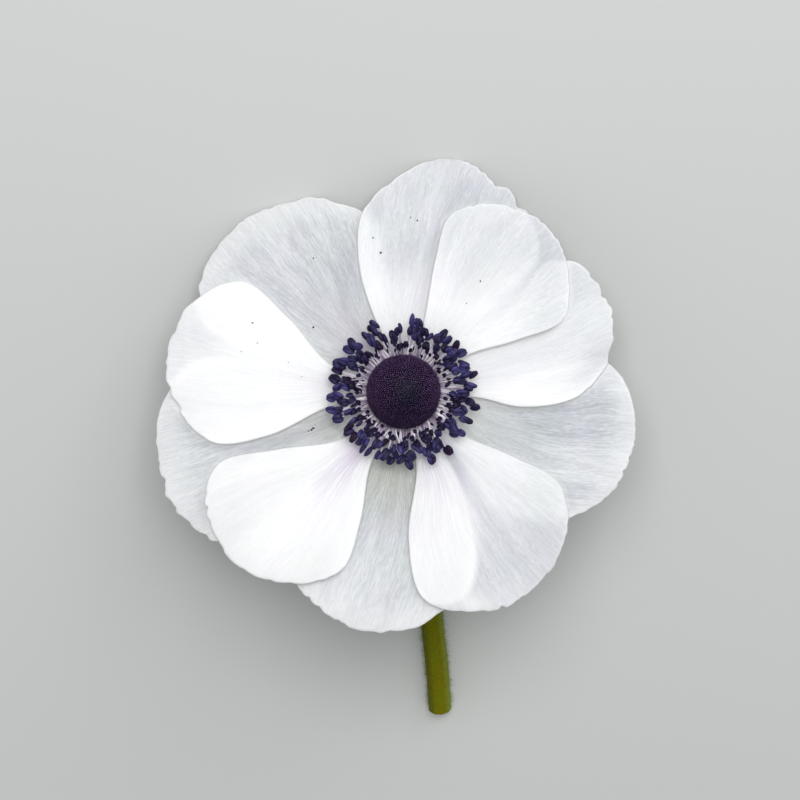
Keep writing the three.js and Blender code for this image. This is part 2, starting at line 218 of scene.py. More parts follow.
PETALS = (
    PetalShape(
        "petal_01", Layer.MIDDLE, (80, 22), 0.5, 0.0, 0.35,
        ((13.5, 111), (22.5, 109), (30.5, 103), (34.8, 94), (39.9, 78), (38.9, 70.7),
         (37.6, 63.5), (35.9, 54), (31.6, 44.6), (23, 43.6), (13, 50)),
        painted_whiteness=PaintedWhiteness(0.16, 0.02, 0.95, 0.35),
        nicks=((0.064, 0.45, 0.03), (0.25, -0.5, 0.05), (0.48, -0.35, 0.05), (0.61, 0.35, 0.014),
               (0.685, -0.85, 0.035), (0.755, 0.6, 0.02)),
        blush=(0.16, 0.14), fold=Fold(0.25, 0.36, 0.36, 0.06), shades=((0.25, 0.45, 0.1, 0.08),),
        patches=((0.27, 0.57, 0.13, -0.2), (0.14, 0.36, 0.14, 0.2)),
    ),
    PetalShape(
        "petal_02", Layer.FRONT, (51, 22), 0.7, 0, 0.3,
        ((12.7, 73.5), (22.9, 76.2), (30.3, 75), (34.2, 66), (36.2, 54), (36.1, 45.7),
         (34.2, 37.3), (29.3, 24.8), (21, 24.7), (12.8, 29.8)),
        painted_whiteness=PaintedWhiteness(-0.02, 0.0, 1.6, 0.33),
        nicks=((0.13, 0.15, 0.014), (0.32, 0.2, 0.014), (0.43, -0.25, 0.05), (0.6, 0.15, 0.014)),
        blush=(0.15, 0.3), fold=Fold(0.3, 0.7, 0.5, 0.28),
        patches=((0.3, 0.55, 0.18, -0.3), (0.64, 0.45, 0.08, 0.1), (0.64, 0.65, 0.08, 0.1)),
    ),
    PetalShape(
        "petal_03", Layer.MIDDLE, (17, 22), 0.6, 0, 0.4,
        ((13, 37), (24, 39.5), (32.6, 42), (36.4, 33.5), (37.2, 25), (36.5, 17),
         (34.4, 8), (28.6, -1.8), (20, -7), (12.6, -4.1)),
        painted_whiteness=PaintedWhiteness(0.42, 0.42, 0.4, 0.37),
        nicks=((0.15, -0.55, 0.06), (0.25, 0.2, 0.014), (0.38, 0.3, 0.014), (0.48, -0.25, 0.03),
               (0.53, 0.2, 0.01), (0.73, 0.25, 0.04)),
        blush=(0.1, 0.6), claw_tint=0.2,
        patches=((0.25, 0.95, 0.18, -0.15), (0.75, 0.95, 0.14, -0.25)), shades=((0.85, 0.9, 0.1, 0.15),),
    ),
    PetalShape(
        "petal_04", Layer.BACK, (-17, 22), 0.4, 0, 0.4,
        ((13, 4), (24, 9), (34, 8.5), (38.2, -1.4), (39.5, -11), (39.6, -19),
         (38.2, -28), (33.2, -40.5), (25, -51), (13.3, -52)),
        painted_whiteness=PaintedWhiteness(0.0, 0.0, 0.2, 0.8),
        nicks=((0.3, 0.2, 0.014), (0.43, 0.2, 0.014), (0.53, 0.25, 0.014), (0.62, 0.5, 0.016),
               (0.69, 0.25, 0.01), (0.8, 0.2, 0.014)),
        blush=(0.1, 0.5), patches=((0.5, 0.08, 0.2, 0.4), (0.62, 0.8, 0.14, 0.25)), claw_tint=0.55,
        shades=((0.33, 0.62, 0.15, 0.27), (0.4, 0.97, 0.12, 0.15)),
    ),
    PetalShape(
        "petal_05", Layer.MIDDLE, (-58, 22), 0.6, 0, 0.4,
        ((12.2, -36.7), (21, -31), (30.5, -31), (36, -40.9), (38.8, -51), (39.8, -61),
         (39.2, -71.2), (34.8, -84.3), (24.5, -87.8), (13, -80)),
        painted_whiteness=PaintedWhiteness(0.19, 0.93, 0.4, 0.33),
        nicks=((0.3, 0.3, 0.06), (0.42, 0.25, 0.014), (0.5, 0.3, 0.014), (0.58, 0.2, 0.01),
               (0.685, 0.5, 0.012), (0.8, 0.45, 0.08)),
        blush=(1.4, 0.8), fold=Fold(0.5, 0.435, 0.72, 0.28),
        patches=((0.45, 0.22, 0.17, -0.8), (0.9, 0.15, 0.16, -1.0), (0.79, 0.96, 0.08, 0.6)),
        shades=((0.55, 0.33, 0.13, 0.12), (1.0, 0.35, 0.09, 0.25), (1.0, 0.58, 0.09, 0.25)),
    ),
    PetalShape(
        "petal_06", Layer.BACK, (-98, 20), 0.4, 0, 0.5,
        ((13.7, -60), (24.5, -59.5), (33, -70), (38.7, -84), (40.6, -96), (40.2, -105),
         (38.1, -114.4), (33.5, -123), (23, -124), (13, -117)),
        painted_whiteness=PaintedWhiteness(0.24, 0.2, -0.5, 1.0),
        nicks=((0.35, 0.15, 0.01), (0.5, -0.3, 0.05), (0.62, 0.2, 0.01), (0.73, 0.45, 0.02),
               (0.8, 0.2, 0.01), (0.88, -0.75, 0.05)),
        blush=(0.15, 0.5), patches=((0.55, 0.85, 0.2, 0.17),), claw_tint=1.5, contact_light=0.3,
        shades=((0.44, 0.35, 0.08, 0.15),),
    ),
    PetalShape(
        "petal_07", Layer.MIDDLE, (-133, 20), 0.8, 0, 0.25,
        ((13.8, -114.3), (23, -108.6), (31.4, -109.3), (36.8, -119.5), (39.9, -131),
         (39.8, -141.6), (37.7, -151), (33.2, -158.6), (22.9, -155), (13.2, -143)),
        painted_whiteness=PaintedWhiteness(1.0, 0.9, 0.0, 1.0),
        nicks=((0.3, 0.1, 0.014), (0.6, 0.1, 0.014), (0.69, 0.2, 0.03), (0.765, 0.45, 0.012)),
        blush=(1.9, 0.4), shades=((1.0, 0.6, 0.08, 0.2), (0.97, 0.85, 0.09, 0.2)),
    ),
    PetalShape(
        "petal_08", Layer.BACK, (-162, 20), 0.4, 0, 0.4,
        ((13, -140), (25, -137), (38.5, -139.5), (42.2, -147.5), (43.2, -156), (42.7, -165),
         (41, -175.5), (35, -187), (24, -189), (13, -184)),
        painted_whiteness=PaintedWhiteness(0.2, 0.17, 0.0, 1.0),
        nicks=((0.08, -0.4, 0.02), (0.13, 0.4, 0.02), (0.24, 0.35, 0.03), (0.33, 0.2, 0.01),
               (0.41, -0.35, 0.02), (0.485, 0.5, 0.02), (0.57, 0.2, 0.01)),
        blush=(0.3, 0.5), patches=((0.45, 0.4, 0.25, -0.22),), claw_tint=1.0, contact_light=1.1,
    ),
    PetalShape(
        "petal_09", Layer.MIDDLE, (172, 20), 0.8, 0, 0.3,
        ((12.7, 191.2), (23.6, 197.8), (32.6, 195), (37, 186.5), (39.6, 176.5),
         (39.8, 166), (38.2, 157), (32.6, 145.8), (23.1, 147.5), (12.6, 160.5)),
        painted_whiteness=PaintedWhiteness(1.0, 0.92, 0.1, 1.0),
        nicks=((0.27, 0.45, 0.04), (0.35, 0.2, 0.012), (0.45, 0.1, 0.01), (0.62, 0.15, 0.014)),
        blush=(0.6, 0.5), patches=((0.55, 0.97, 0.22, -0.5),),
    ),
    PetalShape(
        "petal_10", Layer.BACK, (128, 22), 0.4, 3, 0.35,
        ((12.5, 163), (24, 162), (35.2, 159.5), (39.4, 149), (39.8, 136), (38.1, 125),
         (35.8, 114.5), (29.6, 101), (20, 99.5), (11.5, 106)),
        painted_whiteness=PaintedWhiteness(0.22, 0.1, 0.0, 1.0),
        nicks=((0.13, -0.45, 0.03), (0.3, 0.2, 0.014), (0.385, 0.35, 0.04), (0.45, 0.2, 0.01),
               (0.69, 0.3, 0.05), (0.87, 0.35, 0.03)),
        blush=(0.9, 0.45), patches=((0.42, 0.48, 0.2, -0.2), (0.6, 0.9, 0.15, 0.08)), claw_tint=0.5,
        shades=((0.75, 0.57, 0.13, 0.14),),
    ),
)


def new_object(name: str, data: bpy.types.ID) -> bpy.types.Object:
    """A new object in the scene, made of its data."""
    made = bpy.data.objects.new(name, data)
    bpy.context.scene.collection.objects.link(made)
    return made


@dataclass
class Shape:
    """A mesh before it becomes an object.

    Attributes:
        points: Rows of x, y, z in millimetres.
        faces: Arrays of corner numbers, each of one row per face and 3 or 4 corners.
        values: A number for each point, by name, for the materials to read.
    """

    points: np.ndarray
    faces: list[np.ndarray]
    values: dict[str, np.ndarray] = field(default_factory=dict)

    @staticmethod
    def joined(shapes: "list[Shape]") -> "Shape":
        """Several shapes as one.

        Args:
            shapes: The shapes, all with the same names in values.

        Returns:
            One shape that holds them all.
        """
        starts = np.cumsum([0] + [len(shape.points) for shape in shapes])
        faces = [face + start for shape, start in zip(shapes, starts) for face in shape.faces]
        values = {
            name: np.concatenate([shape.values[name] for shape in shapes])
            for name in shapes[0].values
        }
        return Shape(np.concatenate([shape.points for shape in shapes]), faces, values)

    def to_piece(self, name: str, material: bpy.types.Material, slot: str, *nodes: str) -> None:
        """Makes the shape a smooth piece that rides on the flower's body.

        Args:
            name: The piece's name.
            material: Its one material.
            slot: The record's material slot; not used.
            nodes: The solids that the piece stands for.
        """
        mesh = bpy.data.meshes.new(name)
        corners = np.concatenate([face.ravel() for face in self.faces]).astype(np.int32)
        counts = np.concatenate([np.full(len(face), face.shape[1]) for face in self.faces])
        starts = np.concatenate([[0], np.cumsum(counts)[:-1]]).astype(np.int32)
        mesh.vertices.add(len(self.points))
        mesh.vertices.foreach_set("co", (self.points * MM).astype(np.float32).ravel())
        mesh.loops.add(len(corners))
        mesh.loops.foreach_set("vertex_index", corners)
        mesh.polygons.add(len(starts))
        mesh.polygons.foreach_set("loop_start", starts)
        mesh.update(calc_edges=True)
        mesh.validate()
        mesh.shade_smooth()
        for label, numbers in self.values.items():
            attribute = mesh.attributes.new(label, "FLOAT", "POINT")
            attribute.data.foreach_set("value", numbers.astype(np.float32))
        mesh.materials.append(material)
        made = new_object(name, mesh)
        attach(made, BODY)
        if nodes:
            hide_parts(*nodes)
        LOG.info("%s: %d faces", name, len(mesh.polygons))


@dataclass(frozen=True)
class Ripple:
    """Smooth seeded noise from -1 to 1 over a square whose sides run from 0 to 1.

    Attributes:
        seed: Which noise it is.
        columns: How many waves fit across.
        rows: How many waves fit along.
    """

    seed: int
    columns: int
    rows: int

    def at(self, across: np.ndarray, along: np.ndarray) -> np.ndarray:
        """The noise at each pair of places.

        Args:
            across: Places from 0 to 1 across the square.
            along: Places from 0 to 1 along it.

        Returns:
            The noise, in the shape of the two arrays together.
        """
        random = np.random.default_rng(self.seed)
        lattice = random.uniform(-1.0, 1.0, (self.rows + 2, self.columns + 2))
        across, along = np.broadcast_arrays(across, along)
        column = np.clip(across, 0.0, 1.0) * self.columns
        row = np.clip(along, 0.0, 1.0) * self.rows
        left = column.astype(int)
        low = row.astype(int)
        right_share = smoothstep(0, 1, column - left)
        high_share = smoothstep(0, 1, row - low)
        below = lattice[low, left] * (1 - right_share) + lattice[low, left + 1] * right_share
        above = lattice[low + 1, left] * (1 - right_share) + lattice[low + 1, left + 1] * right_share
        return below * (1 - high_share) + above * high_share


def around(radius: np.ndarray, bearing: np.ndarray) -> np.ndarray:
    """Points of the head's plane from radii in millimetres and bearings in degrees."""
    angle = np.radians(bearing)
    return np.stack([radius * np.cos(angle), radius * np.sin(angle)], axis=-1)


def unit(vectors: np.ndarray) -> np.ndarray:
    """Vectors along the last axis, each made one long."""
    return vectors / np.maximum(np.linalg.norm(vectors, axis=-1, keepdims=True), 1e-12)


def smoothstep(low: float, high: float, value: np.ndarray) -> np.ndarray:
    """A smooth rise from 0 at low to 1 at high."""
    share = np.clip((value - low) / (high - low), 0.0, 1.0)
    return share**2 * (3 - 2 * share)


def curve_through(points: np.ndarray, share: np.ndarray) -> np.ndarray:
    """A centripetal curve through points, as the solids' outlines are drawn.

    Args:
        points: The points that the curve passes through.
        share: Places on the curve from 0 to 1, with equal steps between the points.

    Returns:
        The curve's points at those places.
    """
    padded = np.concatenate([[2 * points[0] - points[1]], points, [2 * points[-1] - points[-2]]])
    place = np.clip(share, 0.0, 1.0) * (len(points) - 1)
    first = np.minimum(place.astype(int), len(points) - 2)
    part = (place - first)[:, None]
    before, start, end, after = (padded[first + step] for step in range(4))
    gap_before, gap, gap_after = (
        np.sqrt(np.linalg.norm(there - here, axis=1, keepdims=True))
        for here, there in ((before, start), (start, end), (end, after))
    )
    leave = (start - before) / gap_before - (end - before) / (gap_before + gap) + (end - start) / gap
    arrive = (end - start) / gap - (after - start) / (gap + gap_after) + (after - end) / gap_after
    leave, arrive = leave * gap, arrive * gap
    square = -3 * start + 3 * end - 2 * leave - arrive
    cube = 2 * start - 2 * end + leave + arrive
    return start + leave * part + square * part**2 + cube * part**3


def turns(sides: int) -> np.ndarray:
    """That many even steps round a full turn, in radians."""
    return 2 * np.pi * np.arange(sides) / sides


def tube_faces(number: np.ndarray, foot: np.ndarray | int, top: np.ndarray | int) -> list[np.ndarray]:
    """The faces of closed tubes, each with a point in the middle of both its ends.

    Args:
        number: The numbers of the points of each ring, ring by ring along each tube.
        foot: Number of the point in the middle of each tube's first ring.
        top: Number of the point in the middle of each tube's last ring.

    Returns:
        The walls' quads and the ends' triangles.
    """
    turned = np.roll(number, -1, axis=-1)
    low, low_next = number[..., :-1, :], turned[..., :-1, :]
    high, high_next = number[..., 1:, :], turned[..., 1:, :]
    walls = np.stack([low, low_next, high_next, high], axis=-1).reshape(-1, 4)
    first, first_next = number[..., 0, :], turned[..., 0, :]
    last, last_next = number[..., -1, :], turned[..., -1, :]
    foot, top = (np.broadcast_to(np.expand_dims(end, -1), first.shape) for end in (foot, top))
    ends = [np.stack([foot, first_next, first], axis=-1), np.stack([top, last, last_next], axis=-1)]
    return [walls, np.concatenate([end.reshape(-1, 3) for end in ends])]


def sweep(paths: np.ndarray, radii: np.ndarray, sides: int, hints: np.ndarray) -> Shape:
    """Round stalks along many paths at once, closed at both ends.

    Args:
        paths: For each stalk the points of its path.
        radii: The stalk's radius at each point of its path.
        sides: How many sides a stalk has.
        hints: For each stalk a direction that its first side faces.

    Returns:
        The stalks as one shape, with "reach" from 0 at the roots to 1 at the tips.
    """
    stalks, stations = paths.shape[:2]
    tangents = unit(np.gradient(paths, axis=1))
    hint = hints[:, None, :]
    normals = unit(hint - np.sum(hint * tangents, axis=-1, keepdims=True) * tangents)
    others = np.cross(tangents, normals)
    angle = turns(sides)[:, None]
    spokes = normals[:, :, None] * np.cos(angle) + others[:, :, None] * np.sin(angle)
    rings = paths[:, :, None] + np.broadcast_to(radii, (stalks, stations))[:, :, None, None] * spokes
    number = np.arange(stalks * stations * sides).reshape(stalks, stations, sides)
    roots = number.size + np.arange(stalks)
    points = np.concatenate([rings.reshape(-1, 3), paths[:, 0], paths[:, -1]])
    reach = np.broadcast_to(np.linspace(0, 1, stations)[None, :, None], number.shape).ravel()
    reach = np.concatenate([reach, np.zeros(stalks), np.ones(stalks)])
    return Shape(points, tube_faces(number, roots, roots + stalks), {"reach": reach})


def turned_body(profile: tuple[tuple[float, float], ...], sides: int) -> Shape:
    """A closed body turned round +Z.

    Args:
        profile: Radius and height of each point, from the lowest on the axis to the highest.
        sides: How many sides it has.

    Returns:
        The body.
    """
    rings = np.array(profile[1:-1])
    angle = turns(sides)
    heights = np.broadcast_to(rings[:, 1:], (len(rings), sides))
    walls = np.stack([rings[:, :1] * np.cos(angle), rings[:, :1] * np.sin(angle), heights], axis=-1)
    ends = np.array([[0.0, 0.0, profile[0][1]], [0.0, 0.0, profile[-1][1]]])
    number = np.arange(heights.size).reshape(heights.shape)
    points = np.concatenate([walls.reshape(-1, 3), ends])
    return Shape(points, tube_faces(number, number.size, number.size + 1))


class Nodes:
    """A short way to add and join the nodes of one shader tree."""

    COLOR_A = 6
    COLOR_B = 7
    COLOR_RESULT = 2

    def __init__(self, tree: bpy.types.NodeTree) -> None:
        """Starts on a tree.

        Args:
            tree: The tree that the nodes go into.
        """
        self.tree = tree

    def feed(self, node: bpy.types.Node, inputs: dict) -> None:
        """Gives a node's inputs their values, or joins them to other nodes' outputs.

        Args:
            node: The node.
            inputs: A number, a colour or an output to join, by input name or number.
        """
        for name, value in inputs.items():
            socket = node.inputs[name]
            if isinstance(value, bpy.types.NodeSocket):
                self.tree.links.new(value, socket)
            elif socket.type == "RGBA":
                socket.default_value = (*value, 1.0)
            else:
                socket.default_value = value

    def add(self, kind: str, inputs: dict | None = None, **settings: object) -> bpy.types.Node:
        """A new node.

        Args:
            kind: Blender's name for the node's type.
            inputs: Values or outputs to join, by input name or number.
            settings: The node's own settings.

        Returns:
            The node.
        """
        node = self.tree.nodes.new(kind)
        for name, value in settings.items():
            setattr(node, name, value)
        self.feed(node, inputs or {})
        return node

    def math(self, operation: str, *values: object) -> bpy.types.NodeSocket:
        """The result of an arithmetic operation on one to three values."""
        return self.add("ShaderNodeMath", dict(enumerate(values)), operation=operation).outputs[0]

    def mix(
        self, share: object, first: object, second: object, beyond: bool = False
    ) -> bpy.types.NodeSocket:
        """A colour between two others.

        Args:
            share: 0 for the first colour and 1 for the second.
            first: The first colour.
            second: The second colour.
            beyond: Whether a share outside 0 to 1 goes on past the two colours.

        Returns:
            The colour.
        """
        inputs = {0: share, self.COLOR_A: first, self.COLOR_B: second}
        node = self.add("ShaderNodeMix", inputs, data_type="RGBA", clamp_factor=not beyond)
        return node.outputs[self.COLOR_RESULT]

    def multiply(self, first: object, second: object) -> bpy.types.NodeSocket:
        """The product of two colours.

        Args:
            first: The first colour.
            second: The second colour.

        Returns:
            The colour.
        """
        inputs = {0: 1.0, self.COLOR_A: first, self.COLOR_B: second}
        node = self.add("ShaderNodeMix", inputs, data_type="RGBA", blend_type="MULTIPLY")
        return node.outputs[self.COLOR_RESULT]

    def spread(
        self, value: object, low: float, high: float, to_low: float, to_high: float
    ) -> bpy.types.NodeSocket:
        """A value taken from one range to another and kept inside it.

        Args:
            value: The value.
            low: The first range's start.
            high: The first range's end.
            to_low: What its start becomes.
            to_high: What its end becomes.

        Returns:
            The value in the second range.
        """
        labels = ("Value", "From Min", "From Max", "To Min", "To Max")
        inputs = dict(zip(labels, (value, low, high, to_low, to_high)))
        return self.add("ShaderNodeMapRange", inputs).outputs["Result"]

    def noise(self, place: object, **inputs: object) -> bpy.types.NodeSocket:
        """Smooth noise from 0 to 1 at a place, with the noise's other inputs by name."""
        return self.add("ShaderNodeTexNoise", {"Vector": place, **inputs}).outputs["Fac"]

    def point(self, x: object, y: object, z: object) -> bpy.types.NodeSocket:
        """A place from its three coordinates."""
        return self.add("ShaderNodeCombineXYZ", {"X": x, "Y": y, "Z": z}).outputs[0]

    def bump(self, height: object, strength: float, depth: float) -> bpy.types.NodeSocket:
        """The normal of a skin with fine relief.

        Args:
            height: The relief from 0 to 1.
            strength: How strongly it shows.
            depth: How deep it is, in millimetres.

        Returns:
            The normal.
        """
        inputs = {"Height": height, "Strength": strength, "Distance": depth * MM}
        return self.add("ShaderNodeBump", inputs).outputs["Normal"]

    def value_of(self, attribute: str) -> bpy.types.NodeSocket:
        """The number that the mesh holds for each point under that name."""
        return self.add("ShaderNodeAttribute", attribute_name=attribute).outputs["Fac"]

    def group(self, tree: bpy.types.NodeTree, **inputs: object) -> bpy.types.Node:
        """A shader group in this tree.

        Args:
            tree: The group's own tree.
            inputs: Values or outputs to join, by input name with _ for a space.

        Returns:
            The group's node.
        """
        node = self.add("ShaderNodeGroup", node_tree=tree)
        self.feed(node, {name.replace("_", " "): value for name, value in inputs.items()})
        return node


def shader_group(name: str, inputs: dict[str, float], outputs: tuple[str, ...]) -> bpy.types.NodeTree:
    """An empty shader group with named inputs and outputs, all numbers but "Place".

    Args:
        name: The group's name.
        inputs: Each input's name and default.
        outputs: Each output's name.

    Returns:
        The group's tree.
    """
    tree = bpy.data.node_groups.new(name, "ShaderNodeTree")
    for label, value in inputs.items():
        kind = "NodeSocketVector" if label == "Place" else "NodeSocketFloat"
        socket = tree.interface.new_socket(name=label, in_out="INPUT", socket_type=kind)
        if kind == "NodeSocketFloat":
            socket.default_value = value
    for label in outputs:
        tree.interface.new_socket(name=label, in_out="OUTPUT", socket_type="NodeSocketFloat")
    return tree


def vein_streaks() -> bpy.types.NodeTree:
    """The shader group for fine veins that run lengthwise.

    Returns:
        A group that takes places along and across, and gives streaks from 0 to 1.
    """
    inputs = {"Along": 0.0, "Across": 0.0, "Count": 40.0, "Stretch": 3.0, "Seed": 0.0}
    tree = shader_group("vein_streaks", inputs | {"Sharpness": 0.5, "Wander": 0.03}, ("Streaks",))
    nodes = Nodes(tree)
    given = nodes.add("NodeGroupInput").outputs
    bends_across, bends_along = 13.0, 9.0
    most_gain = 6.0
    wide = nodes.math("MULTIPLY", given["Across"], bends_across)
    long = nodes.math("MULTIPLY", given["Along"], bends_along)
    drift = nodes.noise(nodes.point(wide, long, given["Seed"]), Scale=1.0, Detail=1.0)
    aside = nodes.math("SUBTRACT", drift, 0.5)
    wandering = nodes.math("MULTIPLY_ADD", aside, given["Wander"], given["Across"])
    sideways = nodes.math("MULTIPLY", wandering, given["Count"])
    lengthways = nodes.math("MULTIPLY", given["Along"], given["Stretch"])
    place = nodes.point(sideways, lengthways, given["Seed"])
    noise = nodes.noise(place, Scale=1.0, Detail=3.0, Roughness=0.65, Distortion=0.15)
    centred = nodes.math("SUBTRACT", noise, 0.5)
    gain = nodes.math("MULTIPLY_ADD", given["Sharpness"], most_gain, 1.0)
    sharpened = nodes.math("MULTIPLY_ADD", centred, gain, 0.5)
    kept = nodes.add("ShaderNodeClamp", {"Value": sharpened}).outputs[0]
    nodes.add("NodeGroupOutput", {"Streaks": kept})
    return tree


def fine_grain() -> bpy.types.NodeTree:
    """The shader group for the fine grain of plant skin.

    Returns:
        A group that takes a place, and gives a coarse mottle and a fine grain from 0 to 1.
    """
    inputs = {"Place": 0.0, "Grain Size": 2500.0, "Mottle Size": 150.0}
    tree = shader_group("fine_grain", inputs, ("Grain", "Mottle"))
    nodes = Nodes(tree)
    given = nodes.add("NodeGroupInput").outputs
    fine = nodes.noise(given["Place"], Scale=given["Grain Size"], Detail=2.0, Roughness=0.6)
    broad = nodes.noise(given["Place"], Scale=given["Mottle Size"], Detail=3.0, Roughness=0.5)
    nodes.add("NodeGroupOutput", {"Grain": fine, "Mottle": broad})
    return tree


@dataclass(frozen=True)
class ShaderGroups:
    """The shader groups that the finishes share.

    Attributes:
        streaks: Fine veins that run lengthwise.
        grain: The fine grain and the coarse mottle of plant skin.
    """

    streaks: bpy.types.NodeTree
    grain: bpy.types.NodeTree

    def skin(self, nodes: Nodes, grain_size: float, mottle_size: float) -> tuple:
        """The grain of an object's skin.

        Args:
            nodes: The nodes of the material's tree.
            grain_size: How many grains fit in a metre.
            mottle_size: How many mottles fit in a metre.

        Returns:
            The outputs for the fine grain and for the coarse mottle.
        """
        place = nodes.add("ShaderNodeTexCoord").outputs["Object"]
        node = nodes.group(self.grain, Place=place, Grain_Size=grain_size, Mottle_Size=mottle_size)
        return node.outputs["Grain"], node.outputs["Mottle"]


def blank_material(name: str) -> tuple[bpy.types.Material, Nodes, bpy.types.Node]:
    """A new material with one plain surface shader.

    Args:
        name: The material's name.

    Returns:
        The material, the nodes of its tree and its Principled shader.
    """
    material = bpy.data.materials.new(name)
    material.use_nodes = True
    material.node_tree.nodes.clear()
    nodes = Nodes(material.node_tree)
    shader = nodes.add("ShaderNodeBsdfPrincipled")
    nodes.add("ShaderNodeOutputMaterial", {"Surface": shader.outputs["BSDF"]})
    return material, nodes, shader


@dataclass(frozen=True)
class PetalFinish:
    """Thin white petal: veined, flushed at the base, with painted light where another petal lies behind it
    and painted shade where it lies alone.

    Attributes:
        name: The material's name.
        vein_strength: How far the veins darken the petal.
        shaded_single: Painted shade colour, where nothing lies behind the petal.
        claw: Colour of the claw.
        claw_reach: How far along the petal the claw's colour reaches.
        vein: Tint that the veins lay on the petal.
        lit_doubled: Painted light colour, where another petal lies behind it.
        flush: Colour of the flush at the base.
        edge: Colour of the thin rim, partly painted light, and of the fine creases.
        rosy: Tint of some broad patches.
        mossy: Tint of the other patches.
        streaks: How many veins lie across the petal.
        patterns: Share of that number, stretch and sharpness of the veins, the hairlines, the
            crinkles, the broad bands and the creases.
        hidden_veins: How strong the veins stay where the petal is whitest.
        roughness: Lowest and highest roughness.
        grain: How many grains and how many mottles fit in a metre.
        relief: How strongly the fine relief shows, and its depth in millimetres.
    """

    name: str
    vein_strength: float
    shaded_single: Color
    claw: Color
    claw_reach: float
    vein: Color = (0.6, 0.605, 0.625)
    lit_doubled: Color = (0.955, 0.96, 0.968)
    flush: Color = (0.56, 0.505, 0.615)
    edge: Color = (0.9, 0.9, 0.91)
    rosy: Color = (1.0, 0.982, 0.993)
    mossy: Color = (0.99, 1.0, 0.975)
    streaks: float = 78.0
    patterns: tuple[tuple[float, float, float], ...] = (
        (1.0, 4.0, 0.55), (2.7, 12.0, 0.7), (1.3, 34.0, 0.6), (0.09, 1.3, 0.2), (0.2, 3.0, 0.1),
    )
    hidden_veins: float = 0.32
    roughness: tuple[float, float] = (0.45, 0.62)
    grain: tuple[float, float] = (3200.0, 140.0)
    relief: tuple[float, float] = (0.3, 0.06)

    def material(self, groups: ShaderGroups) -> bpy.types.Material:
        """The finish as a material.

        Args:
            groups: The shared shader groups.

        Returns:
            The material.
        """
        material, nodes, shader = blank_material(self.name)
        along, across, seed = (nodes.value_of(name) for name in ("along", "across", "seed"))
        veins, hairlines, crinkles, bands, folds = (
            nodes.group(
                groups.streaks, Along=along, Across=across, Seed=seed,
                Count=count * self.streaks, Stretch=stretch, Sharpness=sharpness,
            ).outputs["Streaks"]
            for count, stretch, sharpness in self.patterns
        )
        grain, mottle = groups.skin(nodes, *self.grain)
        streaky = nodes.math("MULTIPLY_ADD", hairlines, 0.4, nodes.math("MULTIPLY", veins, 0.3))
        lines = nodes.math("MULTIPLY_ADD", crinkles, 0.26, streaky)

        veined = self.veined(nodes, nodes.math("MULTIPLY_ADD", bands, 0.6, lines))
        patches = nodes.spread(mottle, 0.38, 0.62, 0.0, 1.0)
        tinted = nodes.multiply(veined, nodes.mix(patches, self.rosy, self.mossy))
        creased = nodes.mix(self.creases(nodes, folds, along), tinted, self.edge)
        flush = nodes.math("MULTIPLY", nodes.value_of("blush"), nodes.spread(veins, 0.2, 0.8, 0.4, 0.85))
        flushed = nodes.mix(flush, creased, self.flush)
        low = nodes.math("MULTIPLY", lines, nodes.spread(along, 0.0, self.claw_reach, 1.0, 0.0))
        clawed = nodes.mix(nodes.math("MULTIPLY", low, nodes.value_of("tint")), flushed, self.claw)
        height = nodes.math("MULTIPLY_ADD", lines, 0.7, nodes.math("MULTIPLY", grain, 0.3))
        # The rim's pale colour is partly the petal's own pale edge and partly painted light.
        nodes.feed(shader, {
            "Base Color": nodes.mix(nodes.value_of("rim"), clawed, self.edge),
            "Roughness": nodes.spread(mottle, 0.3, 0.7, *self.roughness),
            "Normal": nodes.bump(height, *self.relief),
            "Subsurface Weight": 0.85,
            "Subsurface Radius": (1.0, 0.98, 0.95),
            "Subsurface Scale": 0.0012,
            "Specular IOR Level": 0.25,
        })
        return material

    def veined(self, nodes: Nodes, shaded: bpy.types.NodeSocket) -> bpy.types.NodeSocket:
        """The petal's ground colour under its veins, run from its painted shade colour to its painted light
        colour.

        Args:
            nodes: The nodes of the material's tree.
            shaded: The veins, the finer lines and the broad bands together.

        Returns:
            The colour.
        """
        # Painted light and shade: the value read here runs the ground from the painted shade colour to the
        # painted light colour.
        painted_light = nodes.value_of("painted_light")
        ground = nodes.mix(painted_light, self.shaded_single, self.lit_doubled, beyond=True)
        hidden = self.hidden_veins * self.vein_strength
        strength = nodes.spread(painted_light, 0.0, 1.0, self.vein_strength, hidden)
        darker = nodes.math("MULTIPLY", nodes.spread(shaded, 0.4, 1.15, 0.0, 1.0), strength)
        return nodes.multiply(ground, nodes.mix(darker, WHITE, self.vein))

    @staticmethod
    def creases(
        nodes: Nodes, folds: bpy.types.NodeSocket, along: bpy.types.NodeSocket
    ) -> bpy.types.NodeSocket:
        """The thin pale creases, each where the noise of the folds crosses its middle.

        Args:
            nodes: The nodes of the material's tree.
            folds: The noise of the folds.
            along: The place along the petal.

        Returns:
            The creases' strength, which grows towards the rim.
        """
        off_line = nodes.math("ABSOLUTE", nodes.math("SUBTRACT", folds, 0.5))
        line = nodes.spread(off_line, 0.0, 0.03, 1.0, 0.0)
        return nodes.math("MULTIPLY", line, nodes.spread(along, 0.3, 0.9, 0.05, 0.22))


FRONT_PETAL = PetalFinish("petal_front", 0.58, (0.522, 0.544, 0.584), (0.64, 0.62, 0.69), 0.5)
BACK_PETAL = PetalFinish("petal_back", 0.82, (0.597, 0.62, 0.652), (0.36, 0.36, 0.22), 0.6)


